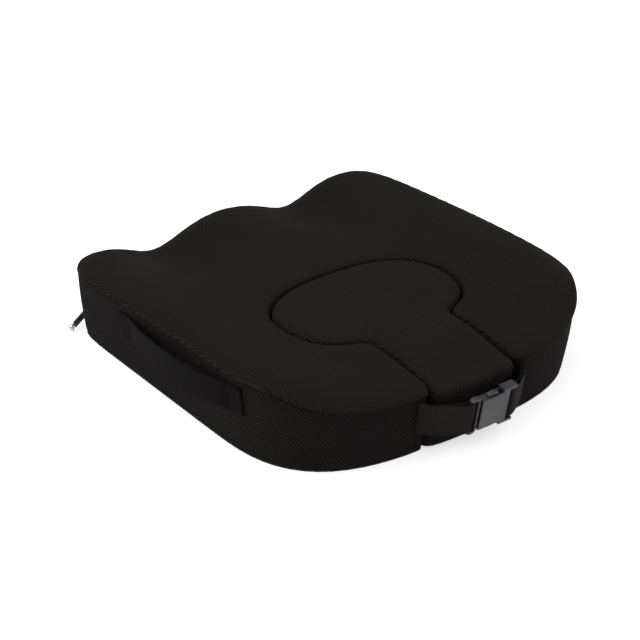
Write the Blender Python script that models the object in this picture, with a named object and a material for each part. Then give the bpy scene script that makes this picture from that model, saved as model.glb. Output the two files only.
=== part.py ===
"""Seat cushion with a lift-out relief insert, a side handle, a zip and a rear buckle strap.

Every size is in metres.  +Z is up, -Y is the rear edge, where the insert and the buckle are,
+Y is the front edge under the thighs, and the handle is on the -X side.
"""

import math

import bmesh
import bpy
import numpy as np
from mathutils import Matrix, Vector

MM = 0.001

# Outline of the cushion, seen from above.
WIDTH = 440.5 * MM
FRONT_DEPTH = 284 * MM        # widest line to the front edge
REAR_DEPTH = 176.4 * MM         # widest line to the rear edge
WIDEST_Y = -56 * MM             # where the widest line crosses the Y axis
FRONT_SQUARENESS = 11.1          # superellipse exponents, 2 is an ellipse
REAR_SQUARENESS = 3.16
FLOOR_FRONT_SQUARENESS = 22.0
WALL_LEAN = 11.8 * MM              # how far the walls pull in at the floor
LOFT_HEIGHT = 105 * MM          # height at which the wall reaches the full outline
OUTER_POINTS = 520              # points round the outer edge, before it is thinned out
OVERRUN = LOFT_HEIGHT + 45 * MM # height that clears every upper surface
REAR_EDGE = REAR_DEPTH - WIDEST_Y  # rear edge's distance behind the X axis

# Keyhole cut-out: a wide rounded head and a straight neck, open to the rear.
HEAD_HALF_WIDTH = 110 * MM
HEAD_HALF_DEPTH = 74 * MM
HEAD_Y = -56 * MM
HEAD_SQUARENESS = 2.5
NECK_HALF_WIDTH = 53 * MM
INSERT_CLEARANCE = 1.0 * MM     # gap all round the insert
INSERT_PROUD = 7 * MM           # how far the insert stands out of the rear edge
INSERT_REAR_BULGE = 3 * MM
INSERT_LEAN = 28 * MM           # how far its rear wall would lean in over the loft height
INSERT_LEAN_REACH = 35 * MM     # length of neck that the lean fades out over
INSERT_SEAM_HEIGHT = 70 * MM    # height at which the rear wall meets the outline
CORNER_PASSES = 24              # rounding of the outline's corners

# Height of the upper surface.
SEAT_HEIGHT = 87 * MM
BOLSTER_RISE = 15.4 * MM
BOLSTER_INNER = 100 * MM
BOLSTER_OUTER = 190 * MM
BOLSTER_FADE = 0.92             # share of the bolsters that is gone at the front
THIGH_DEPTH = 19.7 * MM
THIGH_X = 94 * MM
THIGH_SPREAD = 46 * MM
POMMEL_RISE = 3.3 * MM
POMMEL_SPREAD = 42 * MM
REAR_FALL = 6 * MM
REAR_SIDE_FALL = 11.8 * MM
INSERT_REAR_FALL = 5 * MM
EDGE_DROP = 8.5 * MM              # soft shoulder along the outer seam
EDGE_ROLL = 24 * MM
CUT_DROP = 3.5 * MM             # smaller shoulder along the cut-out
CUT_ROLL = 12 * MM
GRID_STEP = 22.5 * MM
BODY_SPACING = 21 * MM          # distance between outline points on straight runs
INSERT_SPACING = 19 * MM

# Cover and clearances.
FABRIC = 1.6 * MM
SEAM_GAP = 0.3 * MM
LINING_REAR_Y = 14.5 * MM - REAR_EDGE  # seam between the side boxing and the cut-out lining

# Zip along the foot of the front wall.
ZIP_Z = 13.5 * MM
ZIP_HALF_LENGTH = WIDTH / 2 - 51 * MM
ZIP_SET_BACK = 2.0 * MM         # tape's depth behind the inside of the front wall
ZIP_TAPE_WIDTH = 9 * MM
ZIP_TAPE_THICKNESS = 0.7 * MM
ZIP_COIL_WIDTH = 2.2 * MM
ZIP_COIL_DEPTH = 2.5 * MM
ZIP_SPLIT = 1.1 * MM            # gap between the two coils and the two tapes
ZIP_WINDOW = 8.4 * MM           # height of the opening in the front wall
ZIP_CHANNEL_DEPTH = 6.2 * MM    # relief in the foam behind the zip
SLIDER_LENGTH = 12 * MM
SLIDER_HEIGHT = 8 * MM
SLIDER_PLATE = 1.2 * MM
SLIDER_REST_X = -ZIP_HALF_LENGTH - 6.6 * MM  # middle of the parked slider
STOP_LENGTH = 2.4 * MM
BRIDGE_REACH = 3.6 * MM
BRIDGE_WIDTH = 2.4 * MM
RING_RADIUS = 4.6 * MM
RING_WIRE = 0.7 * MM
PULL_LENGTH = 22 * MM
PULL_WIDTH = 8 * MM
PULL_THICKNESS = 3.2 * MM
PULL_TIP_RADIUS = 4.2 * MM
PULL_DIRECTION = Vector((-0.886, -0.385, -0.24))

# Carrying handle on the -X wall.
HANDLE_FRONT_Y = 97 * MM
HANDLE_REAR_Y = -125 * MM
HANDLE_FRONT_Z = 61 * MM
HANDLE_REAR_Z = 68 * MM
HANDLE_WIDTH = 34 * MM
HANDLE_THICKNESS = 2.4 * MM
HANDLE_SEWN = 20 * MM           # length sewn down at each end
HANDLE_BOW = 11 * MM

# Buckle strap across the rear.  The buckle's own frame has x along the strap, y towards the
# cushion and z across the webbing.
STRAP_WIDTH = 38 * MM
STRAP_THICKNESS = 1.3 * MM
STRAP_ROOT_X = NECK_HALF_WIDTH + 19 * MM
STRAP_Z = 43 * MM
STRAP_TILT = math.radians(10)   # the upper edge leans out
BUCKLE_OUT = 13 * MM            # buckle's mid-plane beyond the insert's rear face
REAR_SAG = REAR_DEPTH * (1 - (1 - (2 * STRAP_ROOT_X / WIDTH) ** REAR_SQUARENESS) ** (1 / REAR_SQUARENESS))
ROOT_LEAN = WALL_LEAN * (1 - STRAP_Z / LOFT_HEIGHT)
STRAP_ROOT_IN = REAR_SAG + ROOT_LEAN + INSERT_PROUD + BUCKLE_OUT - 3.1 * MM  # root to mid-plane
BUCKLE_WIDTH = STRAP_WIDTH + 8 * MM
BUCKLE_THICKNESS = 10 * MM
BUCKLE_PLATE = 1.8 * MM
FEMALE_MOUTH_X = -13 * MM
FEMALE_END_X = 33 * MM
FEMALE_WINDOW_X = (-4 * MM, 15 * MM)
FEMALE_MOUTH_WIDTH = STRAP_WIDTH
FEMALE_WALL = 2.2 * MM
MALE_END_X = -26.5 * MM
WEB_BAR = 4.6 * MM
WEB_SLOT = 5 * MM
WEB_SLOT_MARGIN = 1 * MM        # slot is this much longer than the webbing at each end
PRONG_ROOT_Z = STRAP_WIDTH / 2 - 6.5 * MM
PRONG_WIDTH = 3.4 * MM
PRONG_DEPTH = 5.2 * MM
PRONG_TIP_X = 12 * MM
PRONG_CLEARANCE = 0.4 * MM
TONGUE_LENGTH = 22 * MM
TONGUE_WIDTH = 6 * MM

COLOURS = {
    "knit": ((0.018, 0.016, 0.016, 1), 0.95, 0.0),
    "mesh": ((0.010, 0.009, 0.009, 1), 0.95, 0.0),
    "base": ((0.012, 0.012, 0.013, 1), 0.90, 0.0),
    "foam": ((0.75, 0.72, 0.62, 1), 1.0, 0.0),
    "webbing": ((0.020, 0.019, 0.019, 1), 0.85, 0.0),
    "buckle": ((0.060, 0.056, 0.064, 1), 0.45, 0.0),
    "tape": ((0.012, 0.012, 0.012, 1), 0.85, 0.0),
    "pull": ((0.015, 0.015, 0.016, 1), 0.5, 0.0),
    "steel": ((0.62, 0.62, 0.64, 1), 0.3, 1.0),
}


# ---------------------------------------------------------------- outlines

def superellipse_points(angles, half_width, front, rear, n_front, n_rear, centre_y):
    """Points where rays at the given angles meet a superellipse with unlike front and rear."""
    c, s = np.cos(angles), np.sin(angles)
    depth = np.where(s >= 0, front, rear)
    n = np.where(s >= 0, n_front, n_rear)
    reach = (np.abs(c / half_width) ** n + np.abs(s / depth) ** n) ** (-1 / n)
    return np.column_stack((reach * c, reach * s + centre_y))


def outer_curve(lean, n_front, slot):
    """The outer edge from the right of the cut-out round the front to the left of it."""
    sizes = (WIDTH / 2 - lean, FRONT_DEPTH - lean, REAR_DEPTH - lean, n_front, REAR_SQUARENESS)
    start = -math.pi / 2 + math.atan(slot / (REAR_DEPTH - lean))
    angles = np.linspace(start, math.pi - start, OUTER_POINTS)
    return superellipse_points(angles, *sizes, WIDEST_Y)


def cut_curve(slot, rear_y, grow):
    """The cut-out's edge from its left rear end round the head to its right rear end."""
    half_w, half_d = HEAD_HALF_WIDTH + grow, HEAD_HALF_DEPTH + grow
    low = -half_d * (1 - (slot / half_w) ** HEAD_SQUARENESS) ** (1 / HEAD_SQUARENESS)
    join = math.atan2(low, slot)
    neck_y = np.linspace(rear_y, HEAD_Y + low, 44)[:-1]
    left = np.column_stack((np.full_like(neck_y, -slot), neck_y))
    angles = np.linspace(math.pi - join, join, 220)
    sizes = (half_w, half_d, half_d, HEAD_SQUARENESS, HEAD_SQUARENESS)
    head = superellipse_points(angles, *sizes, HEAD_Y)
    return np.concatenate((left, head, left[::-1] * (-1, 1)))


def round_corners(loop):
    """Average each point with its neighbours a few times, which rounds the corners off."""
    for _ in range(CORNER_PASSES):
        loop = (np.roll(loop, 1, 0) + 2 * loop + np.roll(loop, -1, 0)) / 4
    return loop


def inward_normals(loop):
    """Unit normals to the left of an anticlockwise loop, which is its inside."""
    along = np.roll(loop, -1, 0) - np.roll(loop, 1, 0)
    along /= np.linalg.norm(along, axis=1)[:, None]
    return np.column_stack((-along[:, 1], along[:, 0]))


def thin_out(loop, spacing, tightness=0.035):
    """Indices along the loop, close together in bends and spacing apart where it is straight."""
    step = np.linalg.norm(np.roll(loop, -1, 0) - loop, axis=1)
    normals = inward_normals(loop)
    turn = np.linalg.norm(np.roll(normals, -1, 0) - normals, axis=1)
    weight = np.concatenate(([0], np.cumsum(step + tightness * turn)))
    count = int(weight[-1] / spacing)
    picks = np.interp(np.arange(count) * weight[-1] / count, weight, np.arange(len(loop) + 1))
    return np.unique(picks.astype(int))


def body_loops():
    """The cushion's outline at the floor and at the top, point for point, and a cut-out mask."""
    slot = NECK_HALF_WIDTH + INSERT_CLEARANCE
    loops = []
    for lean, n_front in ((WALL_LEAN, FLOOR_FRONT_SQUARENESS), (0, FRONT_SQUARENESS)):
        outer = outer_curve(lean, n_front, slot)
        cut = cut_curve(slot, outer[-1, 1], INSERT_CLEARANCE)
        loops.append(round_corners(np.concatenate((outer, cut[1:-1]))))
    floor, top = loops
    in_cut = np.arange(len(top)) >= OUTER_POINTS
    picks = thin_out(top, BODY_SPACING)
    return floor, top, in_cut, picks


def insert_loop():
    """The insert's outline: the cut-out's own edge less the clearance, closed at the rear."""
    rear_y = WIDEST_Y - REAR_DEPTH - INSERT_PROUD
    cut = cut_curve(NECK_HALF_WIDTH, rear_y, 0)[::-1]
    x = np.linspace(-NECK_HALF_WIDTH, NECK_HALF_WIDTH, 44)[1:-1]
    y = rear_y - INSERT_REAR_BULGE * (1 - (x / NECK_HALF_WIDTH) ** 2) + INSERT_REAR_BULGE
    loop = round_corners(np.concatenate((cut, np.column_stack((x, y - INSERT_REAR_BULGE)))))
    return loop, thin_out(loop, INSERT_SPACING)


def insert_walls():
    """The insert's outline at the floor and at the loft height: only its rear wall leans."""
    loop, picks = insert_loop()
    rear = smooth(REAR_EDGE + INSERT_PROUD - INSERT_LEAN_REACH, REAR_EDGE + INSERT_PROUD, -loop[:, 1])
    share = INSERT_SEAM_HEIGHT / LOFT_HEIGHT
    shift = np.column_stack((np.zeros(len(loop)), rear * INSERT_LEAN))
    return (loop + shift * share)[picks], (loop - shift * (1 - share))[picks]


def inside(points, loop):
    """True for each point that lies inside the closed loop, by counting crossings."""
    x, y = points[:, :1], points[:, 1:]
    x0, y0 = loop[:, 0], loop[:, 1]
    x1, y1 = np.roll(x0, -1), np.roll(y0, -1)
    spans = (y0 > y) != (y1 > y)
    rise = np.where(y1 == y0, 1.0, y1 - y0)
    crossing = x0 + (y - y0) * (x1 - x0) / rise
    return (spans & (x < crossing)).sum(1) % 2 == 1


def edge_distance(points, edge):
    """Distance from each point to the nearest vertex of a finely divided edge."""
    return np.sqrt(((points[:, None, :] - edge[None]) ** 2).sum(2)).min(1)


# ---------------------------------------------------------------- heights

def smooth(low, high, value):
    """0 below low, 1 above high, and a smooth cubic step between."""
    t = np.clip((value - low) / (high - low), 0, 1)
    return t * t * (3 - 2 * t)


def seat_surface(x, y):
    """Height of the upper surface before its edges are rounded."""
    side = smooth(BOLSTER_INNER, BOLSTER_OUTER, np.abs(x))
    bolster = BOLSTER_RISE * side * (1 - BOLSTER_FADE * smooth(-60 * MM, 300 * MM, y))
    front = smooth(30 * MM, 200 * MM, y)
    thigh = THIGH_DEPTH * front * np.exp(-(((np.abs(x) - THIGH_X) / THIGH_SPREAD) ** 2))
    pommel = POMMEL_RISE * front * np.exp(-((x / POMMEL_SPREAD) ** 2))
    rear = smooth(REAR_EDGE - 82.5 * MM, REAR_EDGE - 7.5 * MM, -y) * (REAR_FALL + REAR_SIDE_FALL * side)
    return SEAT_HEIGHT + bolster - thigh + pommel - rear


def shoulder(distance, drop, roll):
    """Drop near an edge: all of it at the edge and none of it a roll's length inside."""
    return drop * (1 - np.clip(distance / roll, 0, 1)) ** 2


def body_top(points):
    """Height of the cushion's cover at points in plan."""
    _, top, in_cut, _ = body_loops()
    within = inside(points, top)
    outer = np.where(within, edge_distance(points, top[~in_cut]), 0)
    cut = np.where(within, edge_distance(points, top[in_cut]), 0)
    height = seat_surface(points[:, 0], points[:, 1])
    return height - np.maximum(shoulder(outer, EDGE_DROP, EDGE_ROLL), shoulder(cut, CUT_DROP, CUT_ROLL))


def insert_top(points):
    """Height of the insert's cover at points in plan."""
    loop, _ = insert_loop()
    edge = np.where(inside(points, loop), edge_distance(points, loop), 0)
    fall = INSERT_REAR_FALL * smooth(REAR_EDGE - 62.5 * MM, REAR_EDGE + 2.5 * MM, -points[:, 1])
    height = seat_surface(points[:, 0], points[:, 1])
    return height - fall - shoulder(edge, CUT_DROP, CUT_ROLL)


# ---------------------------------------------------------------- mesh helpers

def new_material(name):
    """A Principled material with the colour, roughness and metallic value of one finish."""
    colour, roughness, metallic = COLOURS[name]
    material = bpy.data.materials.new(name)
    material.use_nodes = True
    shader = material.node_tree.nodes["Principled BSDF"]
    shader.inputs["Base Color"].default_value = colour
    shader.inputs["Roughness"].default_value = roughness
    shader.inputs["Metallic"].default_value = metallic
    return material


MATERIALS = {}


def add_object(name, mesh, finish=None):
    """Link a mesh to the scene as a named object with one finish."""
    obj = bpy.data.objects.new(name, mesh)
    bpy.context.collection.objects.link(obj)
    if finish:
        if finish not in MATERIALS:
            MATERIALS[finish] = new_material(finish)
        obj.data.materials.clear()
        obj.data.materials.append(MATERIALS[finish])
    return obj


def mesh_from(name, vertices, faces):
    """A mesh with its doubles merged and its faces pointing outwards."""
    mesh = bpy.data.meshes.new(name)
    mesh.from_pydata([tuple(map(float, v)) for v in vertices], [], faces)
    bm = bmesh.new()
    bm.from_mesh(mesh)
    bmesh.ops.remove_doubles(bm, verts=bm.verts, dist=1e-6)
    bmesh.ops.recalc_face_normals(bm, faces=bm.faces)
    bm.to_mesh(mesh)
    bm.free()
    return mesh


def combine(name, base, others, operation, finish=None, solver="EXACT"):
    """Run one Boolean after another on a mesh, and link the result as one object.

    The thin standing walls, which are open in the middle, need the MANIFOLD solver.
    """
    obj = add_object(name, base)
    for other in others:
        tool = add_object(name + "_tool", other)
        modifier = obj.modifiers.new("cut", "BOOLEAN")
        modifier.operation = operation
        modifier.solver = solver
        modifier.object = tool
        depsgraph = bpy.context.evaluated_depsgraph_get()
        result = bpy.data.meshes.new_from_object(obj.evaluated_get(depsgraph))
        obj.modifiers.clear()
        obj.data = result
        bpy.data.objects.remove(tool)
    mesh = obj.data
    bpy.data.objects.remove(obj)
    mesh.name = name
    return add_object(name, mesh, finish) if finish else mesh


def box_mesh(low, high):
    """An axis-aligned box between two corners."""
    (x0, y0, z0), (x1, y1, z1) = low, high
    corners = [(x, y, z) for z in (z0, z1) for x, y in ((x0, y0), (x1, y0), (x1, y1), (x0, y1))]
    faces = [(0, 1, 2, 3), (4, 5, 6, 7), (0, 1, 5, 4), (1, 2, 6, 5), (2, 3, 7, 6), (3, 0, 4, 7)]
    return mesh_from("box", corners, faces)


def cylinder_mesh(radius, low, high, axis, segments=20):
    """A closed cylinder between two heights along the x, y or z axis."""
    turns = np.arange(segments) * 2 * math.pi / segments
    ring = np.column_stack((radius * np.cos(turns), radius * np.sin(turns), np.zeros(segments)))
    points = np.concatenate((ring + (0, 0, low), ring + (0, 0, high)))
    points = np.roll(points, {"z": 0, "x": 1, "y": 2}[axis], axis=1)
    n = segments
    faces = [tuple(range(n)), tuple(range(n, 2 * n))]
    faces += [(i, (i + 1) % n, n + (i + 1) % n, n + i) for i in range(n)]
    return mesh_from("cylinder", points, faces)


def shift(mesh, offset):
    """Move a mesh's vertices and return it."""
    mesh.transform(Matrix.Translation(offset))
    return mesh


def loft_mesh(floor, top, low, high):
    """A solid between two outlines, each point of the floor outline under its top one.

    The outlines give the wall at z = 0 and at the loft height, and the solid runs along that
    straight line from the low height to the high one.
    """
    rings = [at_height(floor, top, z) for z in (low, high)]
    n = len(floor)
    faces = [tuple(range(n)), tuple(range(n, 2 * n))] + strip_faces(n, 0, n)
    return mesh_from("loft", np.concatenate(rings), faces)


def at_height(floor, top, z):
    """The outline at one height, on the straight line from the floor outline to the top one."""
    plan = floor + (top - floor) * (z / LOFT_HEIGHT)
    return np.column_stack((plan, np.full(len(plan), z)))


def strip_faces(n, first, second):
    """Triangles between two closed rings of n points, always split the same way."""
    faces = []
    for i in range(n):
        j = (i + 1) % n
        faces += [(first + i, first + j, second + j), (first + i, second + j, second + i)]
    return faces


def ring_wall_mesh(floor, top, thickness, low, high):
    """A standing wall that follows two outlines on its outside and is open in the middle."""
    inner_floor = floor + inward_normals(floor) * thickness
    inner_top = top + inward_normals(top) * thickness
    rings = [at_height(floor, top, low), at_height(floor, top, high)]
    rings += [at_height(inner_floor, inner_top, high), at_height(inner_floor, inner_top, low)]
    n = len(floor)
    faces = strip_faces(n, 0, n) + strip_faces(n, n, 2 * n)
    faces += strip_faces(n, 3 * n, 2 * n) + strip_faces(n, 3 * n, 0)
    return mesh_from("wall", np.concatenate(rings), faces)


def height_slab(surface, lower, upper):
    """A slab over the whole plan between two offsets below a height function.

    A lower offset of None gives the slab a flat underside well below the floor.
    """
    half_x = math.ceil(WIDTH / 2 / GRID_STEP) + 1
    half_y = math.ceil((abs(WIDEST_Y) + REAR_DEPTH + INSERT_PROUD) / GRID_STEP) + 1
    xs = np.arange(-half_x, half_x + 1) * GRID_STEP
    ys = np.arange(-half_y, half_y + 1) * GRID_STEP
    grid_x, grid_y = np.meshgrid(xs, ys)
    points = np.column_stack((grid_x.ravel(), grid_y.ravel()))
    height = surface(points)
    top = np.column_stack((points, height - upper))
    low = np.full(len(points), -20 * MM) if lower is None else height - lower
    bottom = np.column_stack((points, low))
    rows, cols, n = len(ys), len(xs), len(points)
    faces = []
    for r in range(rows - 1):
        for c in range(cols - 1):
            a = r * cols + c
            b, d, e = a + 1, a + cols, a + cols + 1
            faces += [(a, b, e), (a, e, d), (a + n, e + n, b + n), (a + n, d + n, e + n)]
    rim = [c for c in range(cols)] + [r * cols + cols - 1 for r in range(1, rows)]
    rim += [(rows - 1) * cols + c for c in range(cols - 2, -1, -1)]
    rim += [r * cols for r in range(rows - 2, 0, -1)]
    faces += [(a, b, b + n, a + n) for a, b in zip(rim, rim[1:] + rim[:1])]
    return mesh_from("slab", np.concatenate((top, bottom)), faces)


def ribbon_mesh(path, across, thickness, width):
    """A flat ribbon along a path of points, its width along one direction.

    The thickness is centred on the path, square to the path and to the width.
    """
    path = np.asarray(path, float)
    across = np.asarray(across, float) / np.linalg.norm(across)
    along = np.gradient(path, axis=0)
    face = np.cross(along, across)
    face /= np.linalg.norm(face, axis=1)[:, None]
    half_t, half_w = face * thickness / 2, across * width / 2
    rings = [path + half_t + half_w, path - half_t + half_w, path - half_t - half_w, path + half_t - half_w]
    points = np.stack(rings, axis=1).reshape(-1, 3)
    faces = [(0, 1, 2, 3), tuple(len(points) - 4 + k for k in range(4))]
    for i in range(len(path) - 1):
        a = 4 * i
        faces += [(a + k, a + (k + 1) % 4, a + 4 + (k + 1) % 4, a + 4 + k) for k in range(4)]
    return mesh_from("ribbon", points, faces)


# ---------------------------------------------------------------- cushion body

def cover_core(inset):
    """The room inside the cover's walls, a clearance away from them."""
    floor, top, _, picks = body_loops()
    floor, top = floor[picks], top[picks]
    inner = [loop + inward_normals(loop) * inset for loop in (floor, top)]
    return loft_mesh(*inner, FABRIC + SEAM_GAP, OVERRUN)


def build_body():
    """The foam core and its sewn cover: base, side boxing, cut-out lining and top panel."""
    floor, top, _, picks = body_loops()
    floor, top = floor[picks], top[picks]
    base_top = FABRIC + SEAM_GAP

    base = loft_mesh(floor, top, 0, FABRIC)
    add_object("cover_base_panel", base, "base")

    wall = ring_wall_mesh(floor, top, FABRIC, base_top, OVERRUN)
    under_top = height_slab(body_top, None, FABRIC + SEAM_GAP)
    wall = combine("wall", wall, [under_top], "INTERSECT", solver="MANIFOLD")
    slot = NECK_HALF_WIDTH + INSERT_CLEARANCE + FABRIC + 8 * MM
    head = HEAD_HALF_WIDTH + INSERT_CLEARANCE + FABRIC + 10 * MM
    neck_top = HEAD_Y - HEAD_HALF_DEPTH - 4 * MM
    head_front = HEAD_Y + HEAD_HALF_DEPTH + INSERT_CLEARANCE + FABRIC + 10 * MM

    def cut_zone(rear_y):
        """The space around the cut-out's wall, in front of the given rear limit."""
        neck = box_mesh((-slot, rear_y, -1), (slot, neck_top + 10 * MM, 1))
        around = box_mesh((-head, neck_top, -1), (head, head_front, 1))
        return combine("zone", neck, [around], "UNION")

    lining_zone = [cut_zone(LINING_REAR_Y)]
    combine("cover_cutout_lining", wall.copy(), lining_zone, "INTERSECT", "mesh", "MANIFOLD")
    window = zip_box(SLIDER_LENGTH / 2 - SLIDER_REST_X + SEAM_GAP, ZIP_WINDOW / 2, -6 * MM, 4 * MM)
    openings = [cut_zone(LINING_REAR_Y - SEAM_GAP), window]
    combine("cover_side_boxing", wall, openings, "DIFFERENCE", "mesh", "MANIFOLD")

    panel = height_slab(body_top, FABRIC, 0)
    combine("cover_top_panel", panel, [loft_mesh(floor, top, -OVERRUN, OVERRUN)], "INTERSECT", "knit")

    foam = cover_core(FABRIC + SEAM_GAP)
    below = height_slab(body_top, None, FABRIC + 2 * SEAM_GAP)
    foam = combine("main_foam", foam, [below], "INTERSECT")
    channel = zip_box(-SLIDER_REST_X + SLIDER_LENGTH, ZIP_TAPE_WIDTH + ZIP_SPLIT, -ZIP_CHANNEL_DEPTH, 4 * MM)
    combine("main_foam", foam, [channel], "DIFFERENCE", "foam")


def build_insert():
    """The lift-out insert: its own foam in a sewn cover of three panels."""
    floor, top = insert_walls()
    base_top = FABRIC + SEAM_GAP
    add_object("insert_base_panel", loft_mesh(floor, top, 0, FABRIC), "base")
    wall = ring_wall_mesh(floor, top, FABRIC, base_top, OVERRUN)
    under_top = height_slab(insert_top, None, base_top)
    combine("insert_boxing", wall, [under_top], "INTERSECT", "mesh", "MANIFOLD")
    panel = height_slab(insert_top, FABRIC, 0)
    combine("insert_top_panel", panel, [loft_mesh(floor, top, -OVERRUN, OVERRUN)], "INTERSECT", "knit")
    core_floor = floor + inward_normals(floor) * base_top
    core_top = top + inward_normals(top) * base_top
    foam = loft_mesh(core_floor, core_top, base_top, OVERRUN)
    below = height_slab(insert_top, None, FABRIC + 2 * SEAM_GAP)
    combine("insert_foam", foam, [below], "INTERSECT", "foam")


# ---------------------------------------------------------------- zip

def zip_frame():
    """The zip's own frame: x along the zip, y out of the front wall, z up the wall."""
    lean = math.atan(WALL_LEAN / LOFT_HEIGHT)
    face_y = WIDEST_Y + FRONT_DEPTH - WALL_LEAN * (1 - ZIP_Z / LOFT_HEIGHT)
    return Matrix.Translation((0, face_y, ZIP_Z)) @ Matrix.Rotation(-lean, 4, "X")


def in_zip_frame(mesh):
    """Move a mesh from the zip's own frame into the model's."""
    mesh.transform(zip_frame())
    return mesh


def zip_box(half_length, half_height, low_y, high_y):
    """A box centred on the zip, between two depths."""
    return in_zip_frame(box_mesh((-half_length, low_y, -half_height), (half_length, high_y, half_height)))


def build_zip():
    """Two tapes, two coils and two end stops, set in the foot of the front wall."""
    tape_out = -FABRIC - ZIP_SET_BACK
    coil_in, coil_out = tape_out + SEAM_GAP, tape_out + SEAM_GAP + ZIP_COIL_DEPTH
    half_gap = ZIP_SPLIT / 2
    for side, name in ((1, "upper"), (-1, "lower")):
        bounds = sorted((side * half_gap, side * (half_gap + ZIP_TAPE_WIDTH)))
        length = ZIP_HALF_LENGTH + 2 * MM
        low = (-length, tape_out - ZIP_TAPE_THICKNESS, bounds[0])
        tape = in_zip_frame(box_mesh(low, (length, tape_out, bounds[1])))
        combine("zip_tape_" + name, tape, [cover_core(FABRIC + SEAM_GAP)], "INTERSECT", "tape")
        bounds = sorted((side * half_gap, side * (half_gap + ZIP_COIL_WIDTH)))
        coil = box_mesh((-ZIP_HALF_LENGTH, coil_in, bounds[0]), (ZIP_HALF_LENGTH, coil_out, bounds[1]))
        add_object("zip_coil_" + name, in_zip_frame(coil), "tape")
    far = ZIP_HALF_LENGTH + SEAM_GAP
    reach = half_gap + ZIP_COIL_WIDTH
    stop = box_mesh((far, coil_in, -reach), (far + STOP_LENGTH, coil_out, reach))
    add_object("zip_end_stop", in_zip_frame(stop), "steel")


def build_slider():
    """Slider with its bridge, then the ring, pull and tip that swing from the bridge."""
    inner = -FABRIC - ZIP_SET_BACK - ZIP_TAPE_THICKNESS - SEAM_GAP
    outer = SEAM_GAP
    half_x, half_z = SLIDER_LENGTH / 2, SLIDER_HEIGHT / 2
    top = outer + SLIDER_PLATE
    pivot_x = -half_x + 2.6 * MM
    bridge_x = (-half_x + 0.2 * MM, half_x - 3 * MM)
    back = box_mesh((-half_x, inner - SLIDER_PLATE, -half_z), (half_x, inner, half_z))
    front = box_mesh((-half_x, outer, -half_z), (half_x, top, half_z))
    post_half = ZIP_SPLIT / 2 - SEAM_GAP
    post = box_mesh((-half_x, inner - 0.2 * MM, -post_half), (-half_x + 2 * MM, outer + 0.2 * MM, post_half))
    half_b = BRIDGE_WIDTH / 2
    arch = box_mesh((bridge_x[0], top - 0.2 * MM, -half_b), (bridge_x[1], top + BRIDGE_REACH, half_b))
    hole = box_mesh((bridge_x[0] + 1 * MM, top, -1), (bridge_x[1] - 1 * MM, top + BRIDGE_REACH - 1 * MM, 1))
    arch = combine("arch", arch, [hole], "DIFFERENCE")
    mesh = combine("zip_slider", front, [back, post, arch], "UNION")
    place = zip_frame() @ Matrix.Translation((SLIDER_REST_X, 0, 0))
    add_object("zip_slider", mesh, "steel").matrix_world = place

    pivot = place @ Vector((pivot_x, top + (BRIDGE_REACH - 1 * MM) / 2, 0))
    tilt = Matrix.Rotation(-math.atan(WALL_LEAN / LOFT_HEIGHT), 4, "X")
    hinge = Matrix.Translation(pivot) @ tilt
    build_pull(hinge)
    return pivot


def build_pull(hinge):
    """The ring through the bridge, the moulded pull on the ring and the pull's end ring."""
    turns = np.arange(20) * 2 * math.pi / 20
    wire = np.arange(8) * 2 * math.pi / 8
    big, small = np.meshgrid(turns, wire, indexing="ij")
    reach = RING_RADIUS + RING_WIRE * np.cos(small)
    x = -RING_RADIUS + reach * np.cos(big)
    points = np.column_stack((x.ravel(), (RING_WIRE * np.sin(small)).ravel(), (reach * np.sin(big)).ravel()))
    faces = []
    for i in range(20):
        for j in range(8):
            a, b = i * 8, (i + 1) % 20 * 8
            faces.append((a + j, b + j, b + (j + 1) % 8, a + (j + 1) % 8))
    add_object("zip_ring", mesh_from("zip_ring", points, faces), "steel").matrix_world = hinge

    eye_radius = RING_WIRE + 1.2 * MM
    neck_half = 1.4 * MM
    neck_reach = 4.6 * MM
    eye = cylinder_mesh(eye_radius + 1 * MM, -neck_half, neck_half, "z")
    neck = box_mesh((0, -1.3 * MM, -neck_half), (neck_reach, 1.3 * MM, neck_half))
    start, end = neck_reach - 0.6 * MM, neck_reach + PULL_LENGTH
    half_t, half_w = PULL_THICKNESS / 2, PULL_WIDTH / 2
    body = box_mesh((start, -half_t, -half_w), (end, half_t, half_w))
    bevel_edges(body, 0.9 * MM)
    pull = combine("pull", body, [neck, eye], "UNION")
    hole = cylinder_mesh(eye_radius, -5 * MM, 5 * MM, "z")
    pull = combine("pull", pull, [hole], "DIFFERENCE")

    direction = PULL_DIRECTION.normalized()
    width = Vector((0, 0, 1)) - direction * direction.z
    width.normalize()
    thick = width.cross(direction)
    turn = Matrix((direction, thick, width)).transposed().to_4x4()
    eye_place = Matrix.Translation(hinge @ Vector((-2 * RING_RADIUS, 0, 0))) @ turn
    grip = add_object("zip_pull_grip", pull, "pull")
    grip.matrix_world = eye_place
    tip_x = end + SEAM_GAP + PULL_TIP_RADIUS
    tip = cylinder_mesh(PULL_TIP_RADIUS, -half_t, half_t, "y", 24)
    drill = cylinder_mesh(1.3 * MM, -5 * MM, 5 * MM, "y", 16)
    tip = shift(combine("tip", tip, [drill], "DIFFERENCE"), (tip_x, 0, 0))
    add_object("zip_pull_tip", tip, "steel").matrix_world = eye_place


def bevel_edges(mesh, width):
    """Bevel every edge of a mesh by one flat."""
    bm = bmesh.new()
    bm.from_mesh(mesh)
    bmesh.ops.bevel(bm, geom=bm.edges[:], offset=width, segments=2, profile=0.5, affect="EDGES")
    bmesh.ops.recalc_face_normals(bm, faces=bm.faces)
    bm.to_mesh(mesh)
    bm.free()


# ---------------------------------------------------------------- handle

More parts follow.
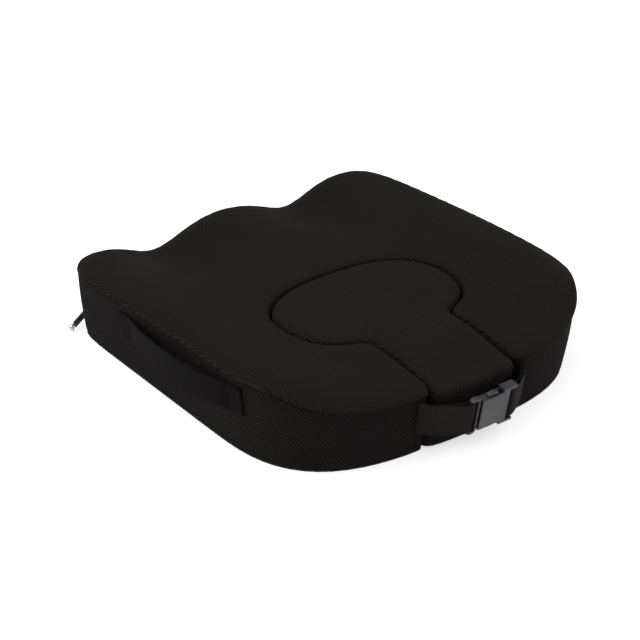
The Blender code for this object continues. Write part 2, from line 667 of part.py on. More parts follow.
def handle_path(y, bow):
    """Points on the handle's middle: along the side wall, bowed out between its sewn ends."""
    along = (y - HANDLE_REAR_Y) / (HANDLE_FRONT_Y - HANDLE_REAR_Y)
    z = HANDLE_REAR_Z + (HANDLE_FRONT_Z - HANDLE_REAR_Z) * along
    lean = WALL_LEAN * (1 - z / LOFT_HEIGHT)
    depth = np.where(y >= WIDEST_Y, FRONT_DEPTH, REAR_DEPTH) - lean
    n = np.where(y >= WIDEST_Y, FRONT_SQUARENESS, REAR_SQUARENESS)
    wall = (WIDTH / 2 - lean) * (1 - np.abs((y - WIDEST_Y) / depth) ** n) ** (1 / n)
    stand = SEAM_GAP + 0.2 * MM + HANDLE_THICKNESS / 2
    return np.column_stack((-(wall + stand + bow), y, z))


def build_handle():
    """A sewn strip: an end at the front and rear, and the free middle that lifts away."""
    across = Vector((-WALL_LEAN / LOFT_HEIGHT, 0, 1))
    gap = SEAM_GAP
    seams = (HANDLE_REAR_Y + HANDLE_SEWN, HANDLE_FRONT_Y - HANDLE_SEWN)
    spans = {
        "handle_rear_end": (HANDLE_REAR_Y, seams[0] - gap),
        "handle_grip": (seams[0] + gap, seams[1] - gap),
        "handle_front_end": (seams[1] + gap, HANDLE_FRONT_Y),
    }
    for name, (low, high) in spans.items():
        y = np.linspace(low, high, 25 if name == "handle_grip" else 5)
        free = np.clip((y - seams[0]) / (seams[1] - seams[0]), 0, 1)
        path = handle_path(y, HANDLE_BOW * np.sin(math.pi * free) ** 0.8)
        add_object(name, ribbon_mesh(path, across, HANDLE_THICKNESS, HANDLE_WIDTH), "webbing")


# ---------------------------------------------------------------- buckle and straps

def buckle_frame():
    """The buckle's own frame: x along the strap, y towards the cushion, z up the webbing."""
    middle_y = WIDEST_Y - REAR_DEPTH - INSERT_PROUD - BUCKLE_OUT
    return Matrix.Translation((0, middle_y, STRAP_Z)) @ Matrix.Rotation(STRAP_TILT, 4, "X")


def web_bar(x):
    """The round bar that the webbing loops over, reaching a little into both side rails."""
    reach = STRAP_WIDTH / 2 + WEB_SLOT_MARGIN + 1 * MM
    return shift(cylinder_mesh(WEB_BAR / 2, -reach, reach, "z", 12), (x, 0, 0))


def build_female():
    """The buckle's socket: two plates, mouth walls, release windows and a web bar."""
    half_t, half_w = BUCKLE_THICKNESS / 2, BUCKLE_WIDTH / 2
    mouth = FEMALE_MOUTH_WIDTH / 2
    window_low, window_high = FEMALE_WINDOW_X
    plate = box_mesh((FEMALE_MOUTH_X, -half_t, -mouth), (window_high + 1 * MM, half_t, mouth))
    block = box_mesh((window_high, -half_t, -half_w), (FEMALE_END_X, half_t, half_w))
    shell = combine("shell", block, [plate], "UNION")
    cavity_t = half_t - BUCKLE_PLATE
    cavity_end = window_high + 1.5 * MM
    cavity = box_mesh((FEMALE_MOUTH_X - 1, -cavity_t, -mouth + FEMALE_WALL), (cavity_end, cavity_t, mouth - FEMALE_WALL))
    window = box_mesh((window_low, -cavity_t, -1), (window_high, cavity_t, 1))
    slot_half = STRAP_WIDTH / 2 + WEB_SLOT_MARGIN
    slot = box_mesh((FEMALE_END_X - WEB_BAR - WEB_SLOT, -1, -slot_half), (1, 1, slot_half))
    mesh = combine("socket", shell, [cavity, window, slot], "DIFFERENCE")
    mesh = combine("socket", mesh, [web_bar(FEMALE_END_X - WEB_BAR / 2)], "UNION")
    add_object("buckle_socket", mesh, "buckle").matrix_world = buckle_frame()


def build_male():
    """The buckle's plug: web bar, shoulder and guide tongue, without its two prongs."""
    half_w = BUCKLE_WIDTH / 2
    half_t = BUCKLE_THICKNESS / 2 - BUCKLE_PLATE - 0.4 * MM
    shoulder_end = FEMALE_MOUTH_X - 1 * MM
    frame = box_mesh((MALE_END_X, -half_t, -half_w), (shoulder_end, half_t, half_w))
    bevel_vertical(frame, 5 * MM)
    tongue_half = TONGUE_WIDTH / 2
    tongue = box_mesh((shoulder_end - 1 * MM, -2 * MM, -tongue_half), (shoulder_end + TONGUE_LENGTH, 2 * MM, tongue_half))
    slot_half = STRAP_WIDTH / 2 + WEB_SLOT_MARGIN
    slot = box_mesh((-1, -1, -slot_half), (MALE_END_X + WEB_BAR + WEB_SLOT, 1, slot_half))
    mesh = combine("plug", frame, [tongue], "UNION")
    mesh = combine("plug", mesh, [slot], "DIFFERENCE")
    mesh = combine("plug", mesh, [web_bar(MALE_END_X + WEB_BAR / 2)], "UNION")
    add_object("buckle_plug", mesh, "buckle").matrix_world = buckle_frame()


def bevel_vertical(mesh, width):
    """Round the four edges that run along y."""
    bm = bmesh.new()
    bm.from_mesh(mesh)
    upright = [e for e in bm.edges if abs((e.verts[0].co - e.verts[1].co).y) > 1e-5]
    bmesh.ops.bevel(bm, geom=upright, offset=width, segments=4, profile=0.5, affect="EDGES")
    bm.to_mesh(mesh)
    bm.free()


def build_prongs():
    """Two flexing prongs, each turning at its root, with a release tab in the side window."""
    root_x = FEMALE_MOUTH_X - 1 * MM + PRONG_CLEARANCE
    barb_x = FEMALE_WINDOW_X[0] + PRONG_CLEARANCE
    half = PRONG_WIDTH / 2
    outward = BUCKLE_WIDTH / 2 - PRONG_ROOT_Z
    step = FEMALE_MOUTH_WIDTH / 2 - PRONG_ROOT_Z - FEMALE_WALL - 2 * PRONG_CLEARANCE
    arm_out = min(step, half + 1.2 * MM)
    outline = [
        (0, -half / 2), (half / 2, -half), (PRONG_TIP_X - root_x - 5 * MM, -half), (PRONG_TIP_X - root_x, 1 * MM),
        (PRONG_TIP_X - root_x, 4 * MM), (PRONG_TIP_X - root_x - 3 * MM, outward - 1.5 * MM),
        (PRONG_TIP_X - root_x - 8 * MM, outward), (barb_x - root_x + 2 * MM, outward - 1 * MM),
        (barb_x - root_x, outward - 3 * MM), (barb_x - root_x, arm_out),
        (half / 2, half), (0, half / 2),
    ]
    for side, name in ((1, "upper"), (-1, "lower")):
        n = len(outline)
        points = [(x, y, side * z) for y in (-PRONG_DEPTH / 2, PRONG_DEPTH / 2) for x, z in outline]
        faces = [tuple(range(n)), tuple(range(n, 2 * n))]
        faces += [(i, (i + 1) % n, n + (i + 1) % n, n + i) for i in range(n)]
        prong = add_object("buckle_prong_" + name, mesh_from("prong", points, faces), "buckle")
        prong.matrix_world = buckle_frame() @ Matrix.Translation((root_x, 0, side * PRONG_ROOT_Z))


def strap_path(side):
    """Middle of a webbing half: from its sewn root round the buckle's web bar and back."""
    bar_half = WEB_BAR / 2
    bar_x = FEMALE_END_X - bar_half if side > 0 else -MALE_END_X - bar_half
    wrap = bar_half + SEAM_GAP + STRAP_THICKNESS / 2
    root = np.array((STRAP_ROOT_X, STRAP_ROOT_IN))
    layer = STRAP_THICKNESS / 2 + SEAM_GAP / 2
    t = np.linspace(0, 1, 13)[:, None]
    legs = []
    for face in (-1, 1):
        start = root + (0, face * layer)
        end = np.array((bar_x + 1.5 * MM, face * wrap))
        first = start + (-8 * MM, -11 * MM)
        second = end + (9 * MM, face * -1.5 * MM)
        curve = (1 - t) ** 3 * start + 3 * t * (1 - t) ** 2 * first + 3 * t * t * (1 - t) * second + t ** 3 * end
        legs.append(curve)
    turns = np.linspace(-math.pi / 2, -3 * math.pi / 2, 15)[1:-1]
    loop = np.column_stack((bar_x + wrap * np.cos(turns), wrap * np.sin(turns)))
    plan = np.concatenate((legs[0], loop, legs[1][::-1]))
    return np.column_stack((side * plan[:, 0], plan[:, 1], np.zeros(len(plan))))


def build_straps():
    """Each half of the webbing, looped round its web bar and stitched back on itself."""
    for side, name in ((-1, "strap_left"), (1, "strap_right")):
        mesh = ribbon_mesh(strap_path(side), (0, 0, 1), STRAP_THICKNESS, STRAP_WIDTH)
        add_object(name, mesh, "webbing").matrix_world = buckle_frame()


# ---------------------------------------------------------------- whole model

def clear_scene():
    """Remove everything the scene starts with."""
    for obj in list(bpy.data.objects):
        bpy.data.objects.remove(obj)


def centre_on_footprint():
    """Put the origin under the middle of the footprint that handle and buckle widen."""
    side_reach = SEAM_GAP + HANDLE_THICKNESS + HANDLE_BOW - WALL_LEAN / 3
    rear_reach = INSERT_PROUD + BUCKLE_OUT + BUCKLE_THICKNESS / 2 + BUCKLE_WIDTH / 2 * math.sin(STRAP_TILT)
    middle_y = WIDEST_Y + (FRONT_DEPTH - REAR_DEPTH) / 2
    offset = Vector((side_reach / 2, rear_reach / 2 - middle_y, 0))
    for obj in bpy.data.objects:
        obj.matrix_world = Matrix.Translation(offset) @ obj.matrix_world


def main():
    """Build every sub-part and set the origin."""
    clear_scene()
    build_body()
    build_insert()
    build_zip()
    build_slider()
    build_handle()
    build_female()
    build_male()
    build_prongs()
    build_straps()
    centre_on_footprint()


main()
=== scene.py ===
"""Looks for a contoured seat cushion with a lift-out insert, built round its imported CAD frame.

Lengths are metres. Outlines are worked out in the cushion's own plan, whose middle line is x = 0,
and OFFSET moves them into the frame's plan.
"""

import logging
import math
from dataclasses import dataclass, field
from enum import Enum

import bmesh
import bpy
import numpy as np
from mathutils import Matrix, Vector

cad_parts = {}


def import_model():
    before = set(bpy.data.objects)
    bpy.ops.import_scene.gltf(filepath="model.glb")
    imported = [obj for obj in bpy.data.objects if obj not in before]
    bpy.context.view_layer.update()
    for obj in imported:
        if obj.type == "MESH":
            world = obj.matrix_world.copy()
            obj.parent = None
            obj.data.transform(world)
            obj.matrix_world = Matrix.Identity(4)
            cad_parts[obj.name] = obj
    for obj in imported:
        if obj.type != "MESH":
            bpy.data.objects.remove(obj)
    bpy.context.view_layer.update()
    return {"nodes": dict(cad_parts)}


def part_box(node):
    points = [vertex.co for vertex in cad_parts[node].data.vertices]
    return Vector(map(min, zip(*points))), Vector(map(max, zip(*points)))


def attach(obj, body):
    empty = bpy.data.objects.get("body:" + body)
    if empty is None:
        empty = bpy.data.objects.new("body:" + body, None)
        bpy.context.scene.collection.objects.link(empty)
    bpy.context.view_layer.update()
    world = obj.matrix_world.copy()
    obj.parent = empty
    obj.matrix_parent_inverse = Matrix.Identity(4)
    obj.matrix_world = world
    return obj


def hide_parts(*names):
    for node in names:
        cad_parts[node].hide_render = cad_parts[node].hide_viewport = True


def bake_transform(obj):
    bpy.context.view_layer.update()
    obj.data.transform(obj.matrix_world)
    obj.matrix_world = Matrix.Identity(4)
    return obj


LOG = logging.getLogger("seat_cushion")
MM = 0.001
OFFSET = np.array((4.883 * MM, 16.697 * MM))
UV_NAME = "cloth"
STITCH_PITCH = 3.2 * MM
THREAD_RADIUS = 0.28 * MM
RIM_REACH = 1.6 * MM
LOWER_SEAM_REACH = 1.5 * MM

Array = np.ndarray
Colour = tuple[float, float, float]
Material = bpy.types.Material
Object = bpy.types.Object
Socket = bpy.types.NodeSocket
Tree = bpy.types.ShaderNodeTree


class Body(Enum):
    """The moving bodies that pieces ride on."""

    CUSHION = "cushion"
    INSERT = "insert"
    HANDLE = "handle"
    PRONG_UPPER = "prong_upper"
    PRONG_LOWER = "prong_lower"
    ZIP_CARRIAGE = "zip_carriage"
    ZIP_PULL = "zip_pull"


class Coords(Enum):
    """Where a finish reads its pattern from."""

    OBJECT = "Object"
    CLOTH = "UV"


class Pattern(Enum):
    """How a cloth is made."""

    RIBS = "ribs"
    MESH = "mesh"
    WEAVE = "weave"


# ---------------------------------------------------------------- mesh from arrays


def smooth(low: float, high: float, value: Array) -> Array:
    """Smooth step.

    Args:
        low: value below which the result is 0.
        high: value above which the result is 1.
        value: the numbers to step.

    Returns:
        t squared times (3 - 2t), where t runs from 0 at low to 1 at high.
    """
    t = np.clip((value - low) / (high - low), 0, 1)
    return t * t * (3 - 2 * t)


def grid_faces(rows: int, cols: int, wrap_rows: bool = False, wrap_cols: bool = False) -> Array:
    """Quads of a grid whose point (r, c) has index r * cols + c.

    Args:
        rows: number of rows of points.
        cols: number of points in a row.
        wrap_rows: joins the last row to the first.
        wrap_cols: joins the last column to the first.

    Returns:
        An array of four indices per quad.
    """
    starts = np.arange(rows if wrap_rows else rows - 1), np.arange(cols if wrap_cols else cols - 1)
    r, c = (index.ravel() for index in np.meshgrid(*starts, indexing="ij"))
    below, beside = (r + 1) % rows, (c + 1) % cols
    return np.column_stack((r * cols + c, r * cols + beside, below * cols + beside, below * cols + c))


def surface(
    name: str,
    points: Array,
    faces: Array,
    uv: Array | None = None,
    merge: bool = True,
    triangles: Array | None = None,
) -> Object:
    """A smooth-shaded object from point and face arrays, its doubles merged and faces outwards.

    Args:
        name: the piece's name.
        points: an array of n by 3 places.
        faces: four indices per face.
        uv: a place on the cloth in metres for each point.
        merge: merges doubled points and turns the faces outwards.
        triangles: three indices for each further face.

    Returns:
        The linked object.
    """
    lists, corners = faces.tolist(), faces.ravel()
    if triangles is not None:
        lists, corners = lists + triangles.tolist(), np.concatenate((corners, triangles.ravel()))
    mesh = bpy.data.meshes.new(name)
    mesh.from_pydata(points.astype(float), [], lists)
    if uv is not None:
        layer = mesh.uv_layers.new(name=UV_NAME)
        layer.data.foreach_set("uv", uv[corners].astype(np.float32).ravel())
    if merge:
        bm = bmesh.new()
        bm.from_mesh(mesh)
        bmesh.ops.remove_doubles(bm, verts=bm.verts, dist=2e-6)
        bmesh.ops.recalc_face_normals(bm, faces=bm.faces)
        bm.to_mesh(mesh)
        bm.free()
    mesh.polygons.foreach_set("use_smooth", np.ones(len(mesh.polygons), bool))
    mesh.update()
    obj = bpy.data.objects.new(name, mesh)
    bpy.context.scene.collection.objects.link(obj)
    return obj


def run_along(line: Array) -> Array:
    """Distance from a line's start to each of its points."""
    return np.concatenate(([0], np.cumsum(np.linalg.norm(np.diff(line, axis=0), axis=1))))


def rounded_profile(width: float, thickness: float, steps: int = 6, across: int = 14) -> Array:
    """A flat strip's cross-section: straight faces and half-round selvedges.

    Args:
        width: full width, along the second column.
        thickness: full thickness, along the first column.
        steps: points round each selvedge.
        across: points along each face.

    Returns:
        A closed ring of points, (thickness place, width place).
    """
    r = thickness / 2
    turn = np.linspace(0, math.pi, steps + 2)[1:-1]
    flat = np.linspace(-1, 1, across) * (width / 2 - r)
    up = np.column_stack((np.full(across, r), flat))
    top = np.column_stack((r * np.cos(turn), width / 2 - r + r * np.sin(turn)))
    down = np.column_stack((np.full(across, -r), -flat))
    low = np.column_stack((-r * np.cos(turn), -(width / 2 - r) - r * np.sin(turn)))
    return np.concatenate((up, top, down, low))


def sweep(name: str, path: Array, across: Array, profile: Array) -> Object:
    """A profile carried along a path and capped at both ends.

    Each ring is path + face * profile[0] + across * profile[1], where face is the unit vector
    square to both the path's direction and the width's direction.

    Args:
        name: the piece's name.
        path: points along the middle.
        across: the width's direction, one for all points or one for each.
        profile: the cross-section from rounded_profile.

    Returns:
        The linked object, with cloth coordinates (along, across).
    """
    across = np.broadcast_to(across, path.shape)
    across = across / np.linalg.norm(across, axis=1)[:, None]
    face = np.cross(np.gradient(path, axis=0), across)
    face /= np.linalg.norm(face, axis=1)[:, None]
    points = path[:, None] + face[:, None] * profile[None, :, :1] + across[:, None] * profile[None, :, 1:]
    run = run_along(path)
    uv = np.stack(np.broadcast_arrays(run[:, None], profile[None, :, 1]), axis=2)
    n, m = len(path), len(profile)
    every = np.concatenate((points.reshape(-1, 3), (points[0].mean(0), points[-1].mean(0))))
    every_uv = np.concatenate((uv.reshape(-1, 2), ((run[0], 0), (run[-1], 0))))
    ring = np.arange(m)
    after = (ring + 1) % m
    first = np.column_stack((np.full(m, n * m), after, ring))
    last = np.column_stack((np.full(m, n * m + 1), (n - 1) * m + ring, (n - 1) * m + after))
    quads = grid_faces(n, m, wrap_cols=True)
    return surface(name, every, quads, every_uv, triangles=np.concatenate((first, last)))


def finish_piece(
    obj: Object, body: Body, material: Material, nodes: tuple[str, ...] = ()
) -> Object:
    """Dress a new piece, seat it on its body and hide the CAD nodes that it stands for.

    Args:
        obj: the piece, already in place.
        body: the body it rides on.
        material: its finish.
        nodes: the CAD nodes that it stands for.

    Returns:
        The same object.
    """
    obj.data.materials.clear()
    obj.data.materials.append(material)
    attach(obj, body.value)
    if nodes:
        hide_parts(*nodes)
    LOG.info("%s: %d faces on %s", obj.name, len(obj.data.polygons), body.value)
    return obj


def puckers(run: Array, pitch: float, seed: float) -> Array:
    """Uneven ripples along a seam: three sines of unlike pitch added together, from -1 to 1.

    Args:
        run: distance along the seam.
        pitch: the middle wavelength.
        seed: shifts the waves, so that seams differ.

    Returns:
        The ripple at each distance.
    """
    k = 2 * math.pi / pitch
    wide, tight = np.sin(k * 0.63 * run + 2.1 * seed), np.sin(k * 1.7 * run + 3.7 * seed)
    return (np.sin(k * run + seed) + 0.6 * wide + 0.4 * tight) / 2


# ---------------------------------------------------------------- plan and heights


@dataclass
class CushionPlan:
    """Outline and upper surface that the cushion and its insert share."""

    width: float = 440.5 * MM
    front_depth: float = 284 * MM
    rear_depth: float = 176.4 * MM
    widest_y: float = -56 * MM
    front_squareness: float = 11.1
    rear_squareness: float = 3.16
    floor_front_squareness: float = 22.0
    lean: float = 11.8 * MM
    loft_height: float = 105 * MM
    head_half_width: float = 110 * MM
    head_half_depth: float = 74 * MM
    head_y: float = -56 * MM
    head_squareness: float = 2.5
    neck_half_width: float = 53 * MM
    clearance: float = 1.0 * MM
    proud: float = 7 * MM
    rear_bulge: float = 3 * MM
    insert_lean: float = 28 * MM
    insert_lean_reach: float = 35 * MM
    insert_seam_height: float = 70 * MM
    corner_passes: int = 24
    seat_height: float = 87 * MM
    bolster_rise: float = 15.4 * MM
    bolster_fade: float = 0.92
    thigh_x: float = 94 * MM
    thigh_depth: float = 19.7 * MM
    thigh_spread: float = 46 * MM
    pommel_rise: float = 3.3 * MM
    pommel_spread: float = 42 * MM
    rear_fall: float = 6 * MM
    rear_side_fall: float = 11.8 * MM
    outer_count: int = 520

    def superellipse(self, angles: Array, sizes: tuple[float, ...], centre_y: float) -> Array:
        """Points where rays meet a superellipse with unlike front and rear.

        The reach along a ray is (|cos/a|^n + |sin/b|^n)^(-1/n).

        Args:
            angles: the rays' angles.
            sizes: half width, front depth, rear depth, front exponent and rear exponent.
            centre_y: the centre's place on the middle line.

        Returns:
            One point per ray.
        """
        half, front, rear, n_front, n_rear = sizes
        c, s = np.cos(angles), np.sin(angles)
        depth, n = np.where(s >= 0, front, rear), np.where(s >= 0, n_front, n_rear)
        reach = (np.abs(c / half) ** n + np.abs(s / depth) ** n) ** (-1 / n)
        return np.column_stack((reach * c, reach * s + centre_y))

    def cut_edge(self, slot: float, rear_y: float, grow: float) -> Array:
        """Keyhole edge from its left rear end round the head to its right rear end.

        Args:
            slot: half width of the neck.
            rear_y: where the neck ends.
            grow: how far the head stands outside the insert's own.

        Returns:
            The edge's points.
        """
        half_w, half_d = self.head_half_width + grow, self.head_half_depth + grow
        low = -half_d * (1 - (slot / half_w) ** self.head_squareness) ** (1 / self.head_squareness)
        join = math.atan2(low, slot)
        neck_y = np.linspace(rear_y, self.head_y + low, 44)[:-1]
        left = np.column_stack((np.full_like(neck_y, -slot), neck_y))
        sizes = (half_w, half_d, half_d, self.head_squareness, self.head_squareness)
        head = self.superellipse(np.linspace(math.pi - join, join, 220), sizes, self.head_y)
        return np.concatenate((left, head, left[::-1] * (-1, 1)))

    def round_corners(self, loop: Array) -> Array:
        """Average each point with its two neighbours a few times, which rounds corners off."""
        for _ in range(self.corner_passes):
            loop = (np.roll(loop, 1, 0) + 2 * loop + np.roll(loop, -1, 0)) / 4
        return loop

    def body_loops(self) -> tuple[Array, Array]:
        """The cushion's closed outlines at the floor and at the full height, point for point."""
        slot = self.neck_half_width + self.clearance
        loops = []
        for lean, n_front in ((self.lean, self.floor_front_squareness), (0.0, self.front_squareness)):
            half, front, rear = self.width / 2 - lean, self.front_depth - lean, self.rear_depth - lean
            sizes = (half, front, rear, n_front, self.rear_squareness)
            start = -math.pi / 2 + math.atan(slot / rear)
            angles = np.linspace(start, math.pi - start, self.outer_count)
            outer = self.superellipse(angles, sizes, self.widest_y)
            cut = self.cut_edge(slot, outer[-1, 1], self.clearance)
            loops.append(self.round_corners(np.concatenate((outer, cut[1:-1]))))
        return loops[0], loops[1]

    def insert_loop(self) -> Array:
        """The insert's closed outline: the keyhole less its clearance, with a bowed rear end."""
        rear_y = self.widest_y - self.rear_depth - self.proud
        cut = self.cut_edge(self.neck_half_width, rear_y, 0)[::-1]
        x = np.linspace(-self.neck_half_width, self.neck_half_width, 44)[1:-1]
        y = rear_y - self.rear_bulge * (1 - (x / self.neck_half_width) ** 2)
        return self.round_corners(np.concatenate((cut, np.column_stack((x, y)))))

    def seat(self, x: Array, y: Array) -> Array:
        """Upper surface before its edges are rounded.

        The seat height, plus side bolsters that fade to the front, less two thigh hollows, plus
        a pommel between them, less a fall to the rear.
        """
        side = smooth(100 * MM, 190 * MM, np.abs(x))
        bolster = self.bolster_rise * side * (1 - self.bolster_fade * smooth(-60 * MM, 300 * MM, y))
        front = smooth(30 * MM, 200 * MM, y)
        thigh = self.thigh_depth * front * np.exp(-(((np.abs(x) - self.thigh_x) / self.thigh_spread) ** 2))
        pommel = self.pommel_rise * front * np.exp(-((x / self.pommel_spread) ** 2))
        rear = smooth(150 * MM, 225 * MM, -y) * (self.rear_fall + self.rear_side_fall * side)
        return self.seat_height + bolster - thigh + pommel - rear


def distance_to(points: Array, edge: Array) -> Array:
    """Distance from each point to the nearest stretch of an open edge line.

    Args:
        points: rows of points, r by c by 2.
        edge: the line's points.

    Returns:
        Distances, r by c.
    """
    start, span = edge[:-1], np.diff(edge, axis=0)
    length = (span**2).sum(1)
    out = np.empty(points.shape[:2])
    for i, row in enumerate(points):
        rel = row[:, None] - start[None]
        t = np.clip((rel * span[None]).sum(2) / length, 0, 1)
        out[i] = np.sqrt(((rel - t[..., None] * span[None]) ** 2).sum(2).min(1))
    return out


def seam_pull(up: Array, down: Array, reach: float) -> Array:
    """How strongly a wall is pulled in by its upper seam and, at 0.6 of that, by its lower one."""
    return np.exp(-((up / reach) ** 2)) + 0.6 * np.exp(-((down / LOWER_SEAM_REACH) ** 2))


def shoulder(distance: Array, drop: float, roll: float) -> Array:
    """Drop near an edge: drop times (1 - distance / roll) squared, and none past the roll."""
    return drop * (1 - np.clip(distance / roll, 0, 1)) ** 2


def resample(line: Array, count: int) -> Array:
    """Fractional indices along a line, evenly spaced by length."""
    run = run_along(line)
    return np.interp(np.linspace(0, run[-1], count), run, np.arange(len(line)))


def take(line: Array, index: Array) -> Array:
    """Places on a line at fractional indices."""
    base = np.arange(len(line))
    return np.column_stack([np.interp(index, base, line[:, k]) for k in range(line.shape[1])])


def outward(loop: Array) -> Array:
    """Unit normals to the right of an anticlockwise closed loop, which is its outside."""
    along = np.roll(loop, -1, 0) - np.roll(loop, 1, 0)
    along /= np.maximum(np.linalg.norm(along, axis=1)[:, None], 1e-12)
    return np.column_stack((along[:, 1], -along[:, 0]))


def tight_spacing(count: int, pull: float) -> Array:
    """Numbers from 0 to 1 that crowd together at both ends: t less pull times sin(2 pi t) over 2 pi."""
    t = np.linspace(0, 1, count)
    return t - pull * np.sin(2 * math.pi * t) / (2 * math.pi)


# ---------------------------------------------------------------- shader node groups


class NodeWriter:
    """Small helpers that place and join nodes in one shader tree."""

    def __init__(self, tree: Tree) -> None:
        """Write into a tree."""
        self.tree = tree

    def math(self, operation: str, *values: object) -> Socket:
        """A Math node.

        Args:
            operation: the node's operation.
            values: sockets or plain numbers for its inputs.

        Returns:
            Its output socket.
        """
        node = self.tree.nodes.new("ShaderNodeMath")
        node.operation = operation
        for slot, value in zip(node.inputs, values):
            self.feed(slot, value)
        return node.outputs[0]

    def feed(self, slot: Socket, value: object) -> None:
        """Link a socket, or set a plain value, into an input."""
        if isinstance(value, Socket):
            self.tree.links.new(value, slot)
        else:
            slot.default_value = value

    def node(self, kind: str, **inputs: object) -> bpy.types.Node:
        """A node of one kind with its named inputs fed."""
        made = self.tree.nodes.new(kind)
        for name, value in inputs.items():
            self.feed(made.inputs[name.replace("_", " ")], value)
        return made

    def split(self, vector: Socket) -> tuple[Socket, ...]:
        """The three numbers of a vector socket."""
        node = self.node("ShaderNodeSeparateXYZ", Vector=vector)
        return node.outputs[0], node.outputs[1], node.outputs[2]

    def wave(self, value: object, pitch: object, shift: object = 0.0) -> Socket:
        """A sine from 0 to 1 with the given pitch along a coordinate."""
        turns = self.math("DIVIDE", value, pitch)
        angle = self.math("ADD", self.math("MULTIPLY", turns, 2 * math.pi), shift)
        return self.math("MULTIPLY_ADD", self.math("SINE", angle), 0.5, 0.5)


class NodeGroup(NodeWriter):
    """A shader node group that takes a Vector and numbers and gives out heights and masks."""

    def __init__(self, name: str, numbers: dict[str, float], outputs: tuple[str, ...]) -> None:
        """Make the group and its sockets.

        Args:
            name: the group's name.
            numbers: each number it takes, with its value until one is given.
            outputs: the names of what it gives out.
        """
        super().__init__(bpy.data.node_groups.new(name, "ShaderNodeTree"))
        sockets = self.tree.interface
        sockets.new_socket(name="Vector", in_out="INPUT", socket_type="NodeSocketVector")
        for label, value in numbers.items():
            made = sockets.new_socket(name=label, in_out="INPUT", socket_type="NodeSocketFloat")
            made.default_value = value
        for label in outputs:
            sockets.new_socket(name=label, in_out="OUTPUT", socket_type="NodeSocketFloat")
        self.inn = self.tree.nodes.new("NodeGroupInput")
        self.out = self.tree.nodes.new("NodeGroupOutput")


def make_rib_group() -> Tree:
    """Fine knit: ribs along one direction, each broken into short stitches that step sideways.

    Height is rib sine to a low power, less the stitch gaps.
    """
    g = NodeGroup("knit_ribs", {"Rib Pitch": 0.003, "Stitch Pitch": 0.0014, "Slant": 0.0}, ("Height", "Gaps"))
    x, y, _ = g.split(g.inn.outputs["Vector"])
    slanted = g.math("ADD", x, g.math("MULTIPLY", y, g.inn.outputs["Slant"]))
    rib = g.wave(slanted, g.inn.outputs["Rib Pitch"])
    step = g.math("MULTIPLY", g.math("FLOOR", g.math("DIVIDE", slanted, g.inn.outputs["Rib Pitch"])), math.pi)
    stitch = g.wave(y, g.inn.outputs["Stitch Pitch"], step)
    height = g.math("MULTIPLY", g.math("POWER", rib, 0.6), g.math("MULTIPLY_ADD", stitch, 0.25, 0.75))
    gaps = g.math("POWER", g.math("SUBTRACT", 1.0, height), 3.0)
    g.feed(g.out.inputs["Height"], height)
    g.feed(g.out.inputs["Gaps"], gaps)
    return g.tree


def make_mesh_group() -> Tree:
    """Air mesh: two families of slanted threads that leave small eyelets between them.

    Thread is the larger of the two families' sines, and the eyelets are where both are low.
    """
    g = NodeGroup("air_mesh", {"Pitch": 0.0028}, ("Height", "Eyelets"))
    x, y, _ = g.split(g.inn.outputs["Vector"])
    first = g.wave(g.math("MULTIPLY_ADD", y, 0.9, x), g.inn.outputs["Pitch"])
    second = g.wave(g.math("MULTIPLY_ADD", y, -1.6, x), g.inn.outputs["Pitch"])
    crossing = g.math("MULTIPLY", g.math("POWER", second, 1.6), 0.75)
    thread = g.math("MAXIMUM", g.math("POWER", first, 1.3), crossing)
    eyelets = g.math("SMOOTH_MAX", g.math("SUBTRACT", 0.68, thread), 0.0, 0.1)
    g.feed(g.out.inputs["Height"], thread)
    g.feed(g.out.inputs["Eyelets"], g.math("MULTIPLY", eyelets, 2.2))
    return g.tree


def make_weave_group() -> Tree:
    """Flat weave: warp and weft threads that pass over each other in turn.

    Over is a checker of the two thread counts, and the height is the thread that is on top.
    """
    g = NodeGroup("flat_weave", {"Warp Pitch": 0.0016, "Weft Pitch": 0.0012}, ("Height", "Gaps"))
    x, y, _ = g.split(g.inn.outputs["Vector"])
    row = g.math("DIVIDE", x, g.inn.outputs["Weft Pitch"])
    col = g.math("DIVIDE", y, g.inn.outputs["Warp Pitch"])
    over = g.math("PINGPONG", g.math("ADD", g.math("FLOOR", row), g.math("FLOOR", col)), 1.0)
    warp = g.math("SINE", g.math("MULTIPLY", g.math("FRACT", col), math.pi))
    weft = g.math("SINE", g.math("MULTIPLY", g.math("FRACT", row), math.pi))
    top = g.math("MULTIPLY", warp, g.math("MULTIPLY_ADD", weft, 0.5, 0.5))
    under = g.math("MULTIPLY", weft, g.math("MULTIPLY_ADD", warp, 0.3, 0.3))
    below = g.math("MULTIPLY", under, g.math("SUBTRACT", 1.0, over))
    height = g.math("ADD", g.math("MULTIPLY", top, over), below)
    g.feed(g.out.inputs["Height"], height)
    g.feed(g.out.inputs["Gaps"], g.math("POWER", g.math("SUBTRACT", 1.0, height), 4.0))
    return g.tree


